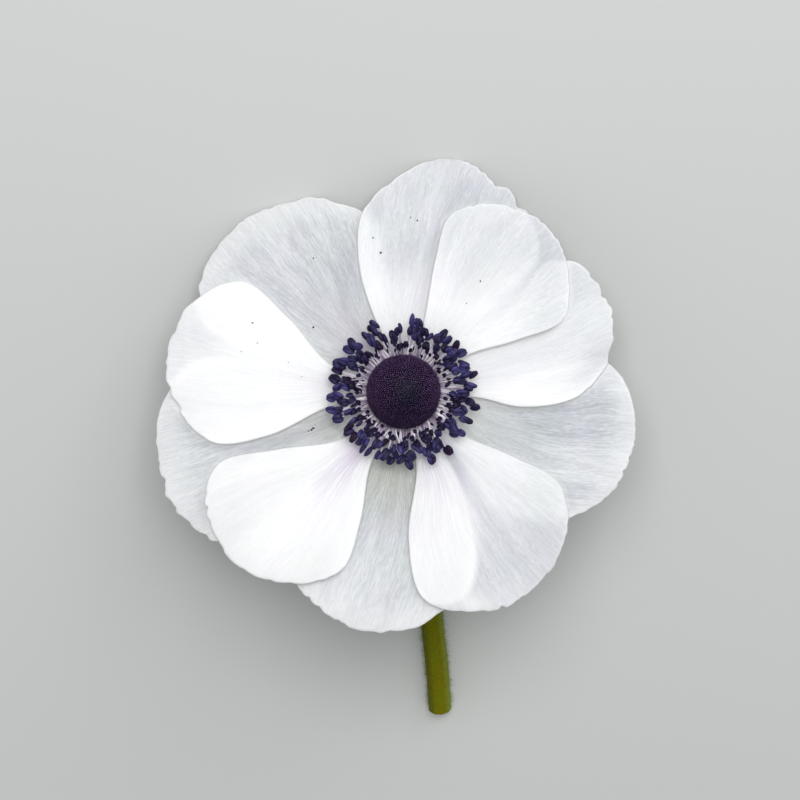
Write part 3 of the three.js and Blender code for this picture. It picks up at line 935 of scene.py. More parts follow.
@dataclass(frozen=True)
class DarkFinish:
    """Dark velvety plant skin, paler or bluer towards one end.

    Attributes:
        name: The material's name.
        deep: Colour at the root.
        light: Colour at the tip.
        patch: Colour of the patches.
        roughness: Lowest and highest roughness.
        shine: Strength of the mirror-like part of the skin.
        grain: How many grains and how many mottles fit in a metre.
        relief: How strongly the fine relief shows, and its depth in millimetres.
    """

    name: str
    deep: Color
    light: Color
    patch: Color
    roughness: tuple[float, float]
    shine: float
    grain: tuple[float, float] = (9000.0, 900.0)
    relief: tuple[float, float] = (0.5, 0.04)

    def material(self, groups: ShaderGroups) -> bpy.types.Material:
        """The finish as a material.

        Args:
            groups: The shared shader groups.

        Returns:
            The material.
        """
        material, nodes, shader = blank_material(self.name)
        grain, mottle = groups.skin(nodes, *self.grain)
        tips = nodes.math("MULTIPLY", nodes.value_of("reach"), nodes.spread(mottle, 0.3, 0.7, 0.5, 1.0))
        ground = nodes.mix(tips, self.deep, self.light)
        nodes.feed(shader, {
            "Base Color": nodes.mix(nodes.value_of("patch"), ground, self.patch),
            "Roughness": nodes.spread(grain, 0.3, 0.7, *self.roughness),
            "Normal": nodes.bump(grain, *self.relief),
            "Specular IOR Level": self.shine,
        })
        return material


FILAMENT = DarkFinish(
    "filament", (0.99, 0.94, 1.0), (0.34, 0.24, 0.44), (0.2, 0.15, 0.23), (0.45, 0.6), 0.3
)
ANTHER = DarkFinish(
    "anther", (0.004, 0.003, 0.014), (0.065, 0.056, 0.2), (0.012, 0.005, 0.02), (0.36, 0.5), 0.14
)
DOME = DarkFinish(
    "pistil_dome", (0.002, 0.001, 0.006), (0.4, 0.22, 0.56), (0.001, 0.004, 0.014), (0.4, 0.6), 0.08
)


@dataclass(frozen=True)
class StemFinish:
    """Green stem skin, ribbed and flushed brown, with a pale cut end, painted shade on its left side and
    painted light on its right.

    Attributes:
        name: The material's name.
        green: Main colour.
        brown: Colour of the flush.
        pale: Colour of the pith at the cut.
        downy_and_lit: Colour of the right side, partly its pale down and partly painted light.
        shady: Colour of the left side, painted shade.
        grain: How many grains and how many mottles fit in a metre.
        relief: How strongly the fine relief shows, and its depth in millimetres.
    """

    name: str = "stem_skin"
    green: Color = (0.13, 0.16, 0.001)
    brown: Color = (0.175, 0.115, 0.001)
    pale: Color = (0.42, 0.5, 0.18)
    downy_and_lit: Color = (0.2, 0.25, 0.03)
    shady: Color = (0.06, 0.07, 0.001)
    grain: tuple[float, float] = (4000.0, 120.0)
    relief: tuple[float, float] = (0.4, 0.1)

    def material(self, groups: ShaderGroups) -> bpy.types.Material:
        """The finish as a material.

        Args:
            groups: The shared shader groups.

        Returns:
            The material.
        """
        material, nodes, shader = blank_material(self.name)
        grain, mottle = groups.skin(nodes, *self.grain)
        ribs = nodes.group(
            groups.streaks, Along=nodes.value_of("along"), Across=nodes.value_of("across"),
            Seed=4.0, Count=30.0, Stretch=5.0, Sharpness=0.3,
        ).outputs["Streaks"]
        brownness = nodes.math("MULTIPLY", ribs, nodes.spread(mottle, 0.35, 0.65, 0.3, 1.0))
        ground = nodes.mix(brownness, self.green, self.brown)
        # Painted shade on the left side and painted light on the right, by which side of the stem a point
        # faces.
        side = nodes.value_of("side")
        shaded = nodes.mix(nodes.spread(side, -0.95, -0.2, 0.7, 0.0), ground, self.shady)
        lit = nodes.mix(nodes.spread(side, 0.5, 0.95, 0.0, 0.9), shaded, self.downy_and_lit)
        height = nodes.math("MULTIPLY_ADD", ribs, 0.6, nodes.math("MULTIPLY", grain, 0.4))
        nodes.feed(shader, {
            "Base Color": nodes.mix(nodes.value_of("cut"), lit, self.pale),
            "Roughness": nodes.spread(grain, 0.3, 0.7, 0.4, 0.6),
            "Normal": nodes.bump(height, *self.relief),
            "Subsurface Weight": 0.15,
            "Subsurface Radius": (0.6, 1.0, 0.3),
            "Subsurface Scale": 0.0008,
            "Specular IOR Level": 0.06,
        })
        return material


@dataclass(frozen=True)
class HairFinish:
    """Pale fine hair.

    Attributes:
        name: The material's name.
        root: Colour at the root.
        tip: Colour at the tip.
    """

    name: str = "stem_hair"
    root: Color = (0.11, 0.13, 0.003)
    tip: Color = (0.32, 0.37, 0.05)

    def material(self) -> bpy.types.Material:
        """The finish as a material.

        Returns:
            The material.
        """
        material, nodes, shader = blank_material(self.name)
        tone = nodes.mix(nodes.value_of("reach"), self.root, self.tip)
        nodes.feed(shader, {"Base Color": tone, "Roughness": 0.5, "Specular IOR Level": 0.1})
        return material


@dataclass
class Petal:
    """One petal as a thin shell.

    Its grid has a row for each place along, from 0 at the claw to 1 at the rim, and a column for
    each place across, from 0 at the left edge to 1 at the right.

    Attributes:
        shape: Its outline and form.
        seed: Which random relief it has.
        rows: Steps from claw to rim.
        columns: Steps from side to side.
        claw_radius: Where the claw starts, in millimetres.
        reach: Radius at which the layer's profile is measured.
        thickness: Thickness in the middle, and at the rim.
        shoulder_point: The outline's point, counted from the claw's corner, where a side edge
            turns into the rim.
        ruffles: Waves of the ruffle across the rim.
        claw_sunk: How far the claw's foot reaches in to the receptacle, in millimetres.
        unevenness: Waves and height in millimetres of each scale of the rim's unevenness.
        reliefs: Height in millimetres and waves across and along of the broad folds, the small
            folds, the veins, the fine veins and the crinkles.
        fold_sides: How far the slope of a lengthwise fold reaches to its left and right.
        blush_size: How far the lilac flush reaches along and across.
        rim_start: Where the pale line along every edge starts, partly the petal's own pale edge and partly
            painted light on the rounded edge's shaded side.
        rim_strength: How pale it is.
        glow_start: Where the painted glow behind the rim starts.
        outline_steps: Steps of the outline where other petals ask what it covers.
    """

    shape: PetalShape
    seed: int
    rows: int = 84
    columns: int = 150
    claw_radius: float = 5.5
    reach: float = 39.0
    thickness: tuple[float, float] = (0.42, 0.24)
    shoulder_point: int = 3
    ruffles: float = 7.0
    claw_sunk: float = 0.45
    unevenness: tuple[tuple[int, float], ...] = ((16, 0.1), (36, 0.17))
    reliefs: tuple[tuple[float, int, int], ...] = (
        (0.24, 6, 2), (0.07, 13, 3), (0.018, 30, 3), (0.012, 62, 5), (0.02, 30, 22),
    )
    fold_sides: tuple[float, float] = (-0.07, 0.09)
    blush_size: tuple[float, float] = (0.42, 0.26)
    rim_start: float = 0.985
    rim_strength: float = 0.4
    glow_start: float = 0.83
    outline_steps: int = 90

    @property
    def along(self) -> np.ndarray:
        """The places along, as a column."""
        return np.linspace(0, 1, self.rows + 1)[:, None]

    @property
    def across(self) -> np.ndarray:
        """The places across, as a row."""
        return np.linspace(0, 1, self.columns + 1)[None]

    def edge_points(self) -> np.ndarray:
        """The outline's points with the claw's two corners, as rows of x and y."""
        middle, half = self.shape.claw
        corners = (self.claw_radius, middle + half), (self.claw_radius, middle - half)
        radius, bearing = np.array([corners[0], *self.shape.outline, corners[1]]).T
        return around(radius, bearing)

    def plan(self) -> np.ndarray:
        """The petal's grid in the head's plane.

        Returns:
            The x and y of each point of the grid.
        """
        points = self.edge_points()
        share = self.shoulder_point / (len(points) - 1)
        middle, half = self.shape.claw
        out, over = self.along[..., None], self.across[..., None]
        left = curve_through(points, share * self.along[:, 0])[:, None]
        right = curve_through(points, 1 - share * self.along[:, 0])[:, None]
        rim = curve_through(points, share + (1 - 2 * share) * self.across[0])[None]
        claw = around(np.full_like(self.across, self.claw_radius), middle + half * (1 - 2 * self.across))
        grid = left * (1 - over) + right * over + claw * (1 - out) + rim * out
        grid -= left[:1] * (1 - over) * (1 - out) + right[:1] * over * (1 - out)
        grid -= left[-1:] * (1 - over) * out + right[-1:] * over * out
        grid -= self.claw_sunk * unit(grid) * (1 - out) ** 14
        return grid + unit(grid) * self.rim_moves()[..., None]

    def rim_moves(self) -> np.ndarray:
        """How far the rim's small nicks and its unevenness move the grid outwards.

        Returns:
            The move of each point of the grid, in millimetres.
        """
        moves = sum(
            size * Ripple(self.seed + 50 + scale, waves, 1).at(self.across, np.zeros_like(self.across))
            for scale, (waves, size) in enumerate(self.unevenness)
        )
        for place, depth, width in self.shape.nicks:
            moves -= depth * np.exp(-(((self.across - place) / width) ** 2))
        inside_corners = smoothstep(0, 0.06, self.across) * smoothstep(0, 0.06, 1 - self.across)
        return self.along**10 * (moves * inside_corners)

    def height(self, grid: np.ndarray) -> np.ndarray:
        """How high the petal stands over its grid.

        Args:
            grid: The petal's grid in the head's plane.

        Returns:
            The height of each point of the grid.
        """
        profile, fold = self.shape.layer.value, self.shape.fold
        out = (np.linalg.norm(grid, axis=-1) - self.claw_radius) / (self.reach - self.claw_radius)
        out = np.maximum(out, 0.0)
        side = 2 * self.across - 1
        height = profile.start + profile.rise * out - profile.arch * out**2 - profile.curl * out**4
        height += self.shape.cup * side**2 * out
        height -= self.shape.droop * out**3
        phase = math.radians(self.shape.claw[0])
        height += self.shape.wave * self.along**6 * np.sin(self.ruffles * side + phase)
        past_fold = smoothstep(*self.fold_sides, self.across - fold.place(self.along))
        height -= fold.depth * out**1.5 * past_fold
        return height + self.relief()

    def relief(self) -> np.ndarray:
        """The soft folds, raised veins and crinkles of the petal's surface.

        Returns:
            The height of the relief at each point of the grid.
        """
        broad, small, veins, fine, crinkles = (
            height * Ripple(self.seed + place, over, out).at(self.across, self.along)
            for place, (height, over, out) in enumerate(self.reliefs)
        )
        past_claw = np.minimum(1.0, 4 * self.along)
        return self.along * (broad + small) + past_claw * (veins + fine) + self.along**2 * crinkles

    def surface(self) -> np.ndarray:
        """The petal's middle surface, as a grid of points in the head's frame."""
        grid = self.plan()
        return np.concatenate([grid, self.height(grid)[..., None]], axis=-1)

    def shell(self, behind: "list[Petal]", before: "list[Petal]") -> Shape:
        """The petal as a closed shell with a rounded edge, in the flower's frame.

        Args:
            behind: The petals of the layers behind this one.
            before: The petals of the layers in front of it.

        Returns:
            The shell, with the values that its material reads.
        """
        middle = self.surface()
        normals = unit(np.cross(np.gradient(middle, axis=1), np.gradient(middle, axis=0)))
        normals[normals[..., 2] < 0] *= -1
        near_edge = np.maximum(self.along**8, np.abs(2 * self.across - 1) ** 8)
        thick = self.thickness[0] + (self.thickness[1] - self.thickness[0]) * near_edge
        offset = normals * (thick / 2)[..., None]

        number = np.arange(near_edge.size).reshape(near_edge.shape)
        loop = np.concatenate([number[0, :-1], number[:-1, -1], number[-1, :0:-1], number[:0:-1, 0]])
        ring = middle.reshape(-1, 3)[loop]
        ahead = np.roll(ring, -1, axis=0) - np.roll(ring, 1, axis=0)
        outward = unit(np.cross(ahead, normals.reshape(-1, 3)[loop]))
        edge = ring + outward * self.thickness[1] / 2

        faces = self.face_values(middle[..., :2], behind, before)
        values = {
            name: np.concatenate([top.ravel(), low.ravel(), top.ravel()[loop]])
            for name, (top, low) in faces.items()
        }
        points = [(middle + offset).reshape(-1, 3), (middle - offset).reshape(-1, 3), edge]
        return Shape(HEAD.place(np.concatenate(points)), self.shell_faces(number, loop), values)

    @staticmethod
    def shell_faces(number: np.ndarray, loop: np.ndarray) -> list[np.ndarray]:
        """The faces of a shell whose upper points come first, then the under and the edge's.

        Args:
            number: The numbers of the upper points, as a grid.
            loop: The numbers of those on the edge, in order round it.

        Returns:
            The upper and the under face, and the two bands that round off the edge.
        """
        upper = np.stack([number[:-1, :-1], number[:-1, 1:], number[1:, 1:], number[1:, :-1]], axis=-1)
        upper = upper.reshape(-1, 4)
        under = number.size
        edge = 2 * number.size + np.arange(len(loop))
        after = np.roll(np.arange(len(loop)), -1)
        top_band = np.stack([loop, edge, edge[after], loop[after]], axis=-1)
        low_band = np.stack([edge, loop + under, loop[after] + under, edge[after]], axis=-1)
        return [upper, upper[:, ::-1] + under, top_band, low_band]

    def face_values(
        self, plan: np.ndarray, behind: "list[Petal]", before: "list[Petal]"
    ) -> dict[str, tuple[np.ndarray, np.ndarray]]:
        """The numbers that the petal's material reads.

        Args:
            plan: The petal's grid in the head's plane.
            behind: The petals of the layers behind this one.
            before: The petals of the layers in front of it.

        Returns:
            For each name the numbers of the upper face and those of the under face.
        """
        shape, profile = self.shape, self.shape.layer.value
        length, width = np.broadcast_arrays(self.along, self.across)
        strength, centre = shape.blush
        reach, spread = self.blush_size
        blush = strength * np.exp(-((length / reach) ** 2)) * np.exp(-(((width - centre) / spread) ** 2))
        tint = shape.claw_tint * smoothstep(0.08, 0.34, length)
        # The rim value: a pale line along every edge, partly the petal's own pale edge and partly painted
        # light, and a painted glow behind the rim.
        edge, side_edge = (
            self.rim_strength * smoothstep(self.rim_start, 1.0, place)
            for place in (length, np.abs(2 * width - 1))
        )
        glow = profile.rim_glow * smoothstep(self.glow_start, 1.0, length)
        rim = np.maximum(edge + glow, side_edge)
        seeds = np.full(length.shape, float(self.seed))

        # Painted light and shade: the petal's own painted white, more where a petal lies behind it, and a
        # strip of painted light beside the edge of a petal that lies on it, weaker on the lit upper side.
        white = self.own_painted_whiteness()
        under = self.covered(plan, before, -1.0, 0.0, 0.85)
        near_claw, at_rim = profile.show_through
        softness = near_claw + (at_rim - near_claw) * smoothstep(0.55, 0.85, length)
        painted_whiteness = shape.painted_whiteness.lit_doubled * self.covered(plan, behind, -softness, softness) + white
        upper = np.clip(np.maximum(painted_whiteness, 0) + shape.contact_light * under, 0, 1)
        return {
            "along": (length, length),
            "across": (width, width),
            "blush": (blush, blush),
            "tint": (tint, tint),
            "rim": (rim, rim),
            "painted_light": (upper - self.patches(shape.shades), np.clip(under + 0.5 * white, 0, 1)),
            "seed": (seeds, seeds + 0.5),
        }

    def own_painted_whiteness(self) -> np.ndarray:
        """How white the petal is painted by itself, with nothing behind it: painted light and shade, with a
        step at its fold.

        Returns:
            The whiteness at each point of the grid.
        """
        painted_whiteness, fold = self.shape.painted_whiteness, self.shape.fold
        bend = fold.bend * self.along**8
        past_fold = smoothstep(-0.035, 0.035, self.across - (fold.place(self.along) + bend))
        white = painted_whiteness.left + (painted_whiteness.right - painted_whiteness.left) * past_fold
        return white + painted_whiteness.base * (1 - self.along) ** 1.5 + self.patches(self.shape.patches)

    def patches(self, patches: Patches) -> np.ndarray:
        """The sum of some soft round patches.

        Args:
            patches: Place across and along, spread and strength of each.

        Returns:
            The patches' strength at each point of the grid.
        """
        total = np.zeros((self.rows + 1, self.columns + 1))
        for over, out, spread, strength in patches:
            total += strength * np.exp(-((self.across - over) ** 2 + (self.along - out) ** 2) / spread**2)
        return total

    @staticmethod
    def covered(
        plan: np.ndarray,
        others: "list[Petal]",
        low: np.ndarray | float,
        high: np.ndarray | float,
        weaker_above: float = 0.0,
    ) -> np.ndarray:
        """Where other petals lie over or under a grid.

        Args:
            plan: The grid in the head's plane.
            others: The petals that may lie there.
            low: Distance inside their edges at which the answer is 0, in millimetres.
            high: Distance inside their edges at which the answer is 1.
            weaker_above: How much less an edge counts for points on its upper side, where there is less
                shade for painted light to lift.

        Returns:
            From 0 where none does to 1 where one does, with a soft edge.
        """
        cover = np.zeros(plan.shape[:-1])
        for other in others:
            depth, upward = other.depth_inside(plan)
            part = smoothstep(low, high, depth)
            cover = np.minimum(1.0, cover + part * (1 - weaker_above * (0.5 + 0.5 * upward)))
        return cover

    def depth_inside(self, plan: np.ndarray) -> tuple[np.ndarray, np.ndarray]:
        """How far inside this petal's outline the points of a grid lie.

        Args:
            plan: The grid in the head's plane.

        Returns:
            Each point's distance from the outline in millimetres, below 0 outside it, and how
            far upward the point lies from the nearest edge, seen from inside, from 1 to -1.
        """
        spots = plan.reshape(-1, 2)
        start = curve_through(self.edge_points(), np.linspace(0, 1, self.outline_steps))
        end = np.roll(start, -1, axis=0)
        step = end - start
        offset = spots[:, None] - start[None]
        share = np.clip(np.sum(offset * step, axis=-1) / np.sum(step**2, axis=-1), 0, 1)
        aside = offset - share[..., None] * step
        gaps = np.linalg.norm(aside, axis=-1)
        nearest = (np.arange(len(spots)), gaps.argmin(axis=1))
        gap = gaps[nearest]
        upward = aside[..., 1][nearest] / np.maximum(gap, 1e-9)
        crosses = (start[:, 1] > spots[:, 1:]) != (end[:, 1] > spots[:, 1:])
        slope = step[:, 0] / np.where(step[:, 1] == 0, 1e-9, step[:, 1])
        left_of = spots[:, :1] < start[:, 0] + slope * (spots[:, 1:] - start[:, 1])
        inside = np.sum(crosses & left_of, axis=1) % 2 == 1
        sign = np.where(inside, 1.0, -1.0)
        return (sign * gap).reshape(plan.shape[:-1]), (-sign * upward).reshape(plan.shape[:-1])


@dataclass
class Corolla:
    """The ten white petals in their three layers.

    Attributes:
        groups: The shared shader groups.
        petals: The petals, once they are built.
        touch: How close to a place a petal's point has to be to count as there, in millimetres.
    """

    groups: ShaderGroups
    petals: list[Petal] = field(default_factory=list)
    touch: float = 0.4

    def build(self) -> None:
        """Builds each petal as its own piece in place of its solid."""
        front = FRONT_PETAL.material(self.groups)
        back = BACK_PETAL.material(self.groups)
        self.petals = [Petal(shape, 100 + 10 * place) for place, shape in enumerate(PETALS)]
        for petal in self.petals:
            rank = petal.shape.layer.value.rank
            behind = [other for other in self.petals if other.shape.layer.value.rank < rank]
            before = [other for other in self.petals if other.shape.layer.value.rank > rank]
            node = petal.shape.node
            name = node.replace("petal", "white_petal")
            petal.shell(behind, before).to_piece(name, front if rank else back, "petal_white", node)

    def top_at(self, x: float, y: float) -> float:
        """How high the highest petal stands at a place of the head's plane.

        Args:
            x: The place's x, in millimetres.
            y: Its y.

        Returns:
            The height of the petal's upper face, or minus infinity where there is none.
        """
        best = -math.inf
        for petal in self.petals:
            points = petal.surface().reshape(-1, 3)
            gap = np.hypot(points[:, 0] - x, points[:, 1] - y)
            nearest = int(gap.argmin())
            if gap[nearest] < self.touch:
                best = max(best, float(points[nearest, 2]) + petal.thickness[0] / 2)
        return best


@dataclass(frozen=True)
class Whorl:
    """One ring of stamens.

    Attributes:
        count: How many stamens it has.
        radius: Radius of their tips, in millimetres.
        height: Height of their tips, in millimetres.
        size: Size of their anthers against the largest.
        blueness: Least and greatest share of blue in the colour of their anthers.
        dark: Share of them whose filament is dark too.
    """

    count: int
    radius: float
    height: float
    size: float = 1.0
    blueness: tuple[float, float] = (0.2, 1.0)
    dark: float = 0.12


@dataclass(frozen=True)
class Anther:
    """The form of every anther: two lobes with a groove between them, bent like a bean.

    Attributes:
        size: Width, length and depth, in millimetres.
        rings: Rings of points along it.
        sides: Points round each ring.
        bend: How far its ends hang, as a share of half its depth.
        notch: How far the groove cuts in at both ends, as a share of half its length.
        groove_width: Half the groove's width, as a share of half the anther's.
        groove_depth: How deep the groove is, as a share of half the anther's depth.
        taper: How much narrower it gets towards its far end.
    """

    size: tuple[float, float, float] = (1.5, 2.15, 0.95)
    rings: int = 11
    sides: int = 22
    bend: float = 0.3
    notch: float = 0.14
    groove_width: float = 0.3
    groove_depth: float = 0.5
    taper: float = 0.12

    def template(self) -> Shape:
        """The anther at the origin, one long in each direction, its long axis along +Y.

        Returns:
            The anther, with "groove" from 0 on the lobes to 1 in the groove.
        """
        polar = np.pi * np.arange(1, self.rings + 1)[:, None] / (self.rings + 1)
        turn = turns(self.sides)
        x = np.sin(polar) * np.cos(turn)
        y = np.broadcast_to(-np.cos(polar), x.shape)
        groove = np.exp(-((x / self.groove_width) ** 2))
        z = np.sin(polar) * np.sin(turn) * (1 - self.groove_depth * groove) - self.bend * y**2
        y = y * (1 - self.notch * groove)
        x = x * (1 - self.taper * y)
        rings = np.stack([x, y, z], axis=-1).reshape(-1, 3)
        ends = np.array([[0.0, self.notch - 1, -self.bend], [0.0, 1 - self.notch, -self.bend]])
        faces = tube_faces(np.arange(x.size).reshape(x.shape), x.size, x.size + 1)
        faces = [np.roll(face[:, ::-1], 1, axis=1) for face in faces]
        values = {"groove": np.concatenate([groove.ravel(), [1.0, 1.0]])}
        return Shape(np.concatenate([rings, ends]) / 2, faces, values)


@dataclass
class Stamens:
    """The ring of pale filaments with dark anthers, round the dome.

    Attributes:
        groups: The shared shader groups.
        whorls: The rings of stamens, from the innermost.
        root_radius: Least and greatest radius of the roots.
        root_height: Height of the roots.
        thickness: Radius of a filament at its root, in its middle and at its tip.
        sides: Sides of a filament.
        anther: The form of the anthers.
        collar: Profile of the collar that the filaments grow from.
        jitter: How far a stamen may stand from its even place, as a share of a step.
        reach_spread: How much the reach varies, and its limits, in millimetres.
        height_spread: How much the height varies.
        turn_spread: How far the tips turn aside, in degrees.
        knee: Radius that a filament's knee is measured from, and its share of the reach past
            that radius and of the rise.
        lean: How far the anthers lean outwards, and how much that varies sideways and upwards.
        anther_offset: Distance from a filament's tip to its anther's middle.
        roll: How far the anthers roll about their long axis, in radians.
        stations: Points along a filament.
        collar_sides: Sides of the collar.
        seeds: Seeds of the stamens' places, of the anthers and of the filaments' shades.
    """

    groups: ShaderGroups
    whorls: tuple[Whorl, ...] = (
        Whorl(44, 6.9, 3.8, 0.42, (0.0, 0.1), 0.6), Whorl(52, 7.6, 4.4, 0.6, (0.0, 0.3), 0.35),
        Whorl(52, 8.6, 4.9, 0.78, (0.0, 0.6), 0.22), Whorl(48, 9.6, 4.9, 0.92, (0.1, 0.9)),
        Whorl(38, 10.6, 4.4), Whorl(28, 11.4, 4.0),
    )
    root_radius: tuple[float, float] = (5.2, 5.8)
    root_height: float = 1.9
    thickness: tuple[float, float, float] = (0.17, 0.15, 0.11)
    sides: int = 8
    anther: Anther = Anther()
    collar: tuple[tuple[float, float], ...] = (
        (0, 1.5), (5.2, 1.5), (5.9, 1.75), (6.1, 2.0), (5.7, 2.35), (4.6, 2.4), (0, 2.4),
    )
    jitter: float = 0.38
    reach_spread: tuple[float, float, float] = (0.36, -0.6, 0.55)
    height_spread: float = 0.28
    turn_spread: float = 3.5
    knee: tuple[float, float, float] = (5.7, 0.42, 0.62)
    lean: tuple[float, float, float] = (0.8, 0.55, 0.3)
    anther_offset: float = 0.42
    roll: float = 0.9
    stations: int = 9
    collar_sides: int = 48
    seeds: tuple[int, int, int] = (7, 8, 9)

    def paths(self, random: np.random.Generator) -> np.ndarray:
        """The path of each filament, from the innermost whorl to the outermost.

        Args:
            random: The source of the random draws.

        Returns:
            The points of each path, in the head's frame.
        """
        from_radius, reach_share, rise_share = self.knee
        spread, least, most = self.reach_spread
        roots, knees, tips = [], [], []
        for whorl in self.whorls:
            count = whorl.count
            bearing = 360 * (np.arange(count) + random.uniform(-self.jitter, self.jitter, count)) / count
            bearing += random.uniform(0, 360)
            reach = whorl.radius + np.clip(random.normal(0, spread, count), least, most)
            height = whorl.height + random.normal(0, self.height_spread, count)
            root = around(random.uniform(*self.root_radius, count), bearing)
            tip = around(reach, bearing + random.normal(0, self.turn_spread, count))
            knee = around(from_radius + reach_share * (reach - from_radius), bearing)
            rise = self.root_height + rise_share * (height - self.root_height)
            roots.append(np.column_stack([root, np.full(count, self.root_height)]))
            knees.append(np.column_stack([knee, rise]))
            tips.append(np.column_stack([tip, height]))
        root, knee, tip = (np.concatenate(part)[:, None] for part in (roots, knees, tips))
        share = np.linspace(0, 1, self.stations)[None, :, None]
        return root * (1 - share) ** 2 + 2 * knee * share * (1 - share) + tip * share**2

    def anther_axes(self, paths: np.ndarray, random: np.random.Generator) -> np.ndarray:
        """The long axis of each anther.

        Args:
            paths: The path of each filament.
            random: The source of the random draws.

        Returns:
            A direction for each anther, away from its filament.
        """
        out_share, sideways, upwards = self.lean
        ends = unit(paths[:, -1] - paths[:, -2])
        outward = np.column_stack([unit(paths[:, -1, :2]), np.zeros(len(paths))])
        aside = np.cross(outward, UP)
        axes = unit(ends + out_share * outward + random.normal(0, sideways, (len(paths), 1)) * aside)
        return unit(axes + random.normal(0, upwards, (len(paths), 1)) * UP)

    def anthers(self, centres: np.ndarray, axes: np.ndarray) -> Shape:
        """All the anthers, each of its own size, roll and colour.

        Args:
            centres: The middle of each anther.
            axes: The long axis of each anther.

        Returns:
            The anthers as one shape in the head's frame.
        """
        random = np.random.default_rng(self.seeds[1])
        template = self.anther.template()
        count, corners = len(centres), len(template.points)
        whorl_sizes = np.concatenate([np.full(whorl.count, whorl.size) for whorl in self.whorls])
        sizes = self.anther.size * np.clip(random.normal(1.0, [0.13, 0.09, 0.1], (count, 3)), 0.75, 1.2)
        sizes *= whorl_sizes[:, None]
        roll = random.normal(0, self.roll, count)[:, None]
        flat = unit(np.cross(axes, UP))
        across = flat * np.cos(roll) + np.cross(flat, axes) * np.sin(roll)
        turn = np.stack([across, axes, np.cross(across, axes)], axis=1)
        points = centres[:, None] + (template.points[None] * sizes[:, None]) @ turn
        starts = (np.arange(count) * corners)[:, None, None]
        faces = [(face[None] + starts).reshape(-1, face.shape[1]) for face in template.faces]
        tone = np.concatenate([random.uniform(*whorl.blueness, whorl.count) for whorl in self.whorls])
        # Each anther's blueness is its own; the groove between its lobes is painted darker, painted shade,
        # and the lobes keep their blue, partly as painted highlight.
        reach = (tone[:, None] * (1 - 0.78 * template.values["groove"])[None]).ravel()
        patch = np.repeat(random.uniform(0, 1, count) ** 4, corners)
        return Shape(points.reshape(-1, 3), faces, {"reach": reach, "patch": patch})

    def filaments(self, paths: np.ndarray) -> Shape:
        """All the filaments, some of them dim and some dark.

        Args:
            paths: The path of each filament.

        Returns:
            The filaments as one shape in the head's frame.
        """
        random = np.random.default_rng(self.seeds[2])
        count, stations = paths.shape[:2]
        radii = np.interp(np.linspace(0, 1, stations), [0, 0.5, 1], self.thickness)
        made = sweep(paths, radii, self.sides, np.broadcast_to(UP, (count, 3)))
        dim = random.uniform(0, 1, count) ** 2.4
        odds = np.concatenate([np.full(whorl.count, whorl.dark) for whorl in self.whorls])
        dark = (random.uniform(0, 1, count) < odds).astype(float)
        dim, dark = (
            np.concatenate([np.repeat(share, stations * self.sides), np.zeros(2 * count)])
            for share in (dim, dark)
        )
        reach = made.values["reach"]
        # Some filaments are dim at random; all darken towards their roots, partly their own dark bases and
        # partly painted shade among them.
        made.values["patch"] = np.maximum(dim, 0.2 * (1 - smoothstep(0.1, 0.55, reach)))
        made.values["reach"] = np.maximum(smoothstep(0.5, 1.0, reach), dark)
        return made

    def build(self) -> None:
        """Builds the filaments and the anthers in place of the stamens' solid."""
        random = np.random.default_rng(self.seeds[0])
        paths = self.paths(random)
        axes = self.anther_axes(paths, random)
        collar = turned_body(self.collar, self.collar_sides)
        # The collar takes the filaments' dark tip colour: partly their dark bases and partly painted shade
        # in the gaps between them.
        collar.values = {"reach": np.ones(len(collar.points)), "patch": np.zeros(len(collar.points))}
        threads = Shape.joined([self.filaments(paths), collar])
        lobes = self.anthers(paths[:, -1] + self.anther_offset * axes, axes)
        for shape, name, finish in ((threads, "filaments", FILAMENT), (lobes, "anthers", ANTHER)):
            shape.points = HEAD.place(shape.points)
            shape.to_piece(name, finish.material(self.groups), "stamen_navy", "stamens")


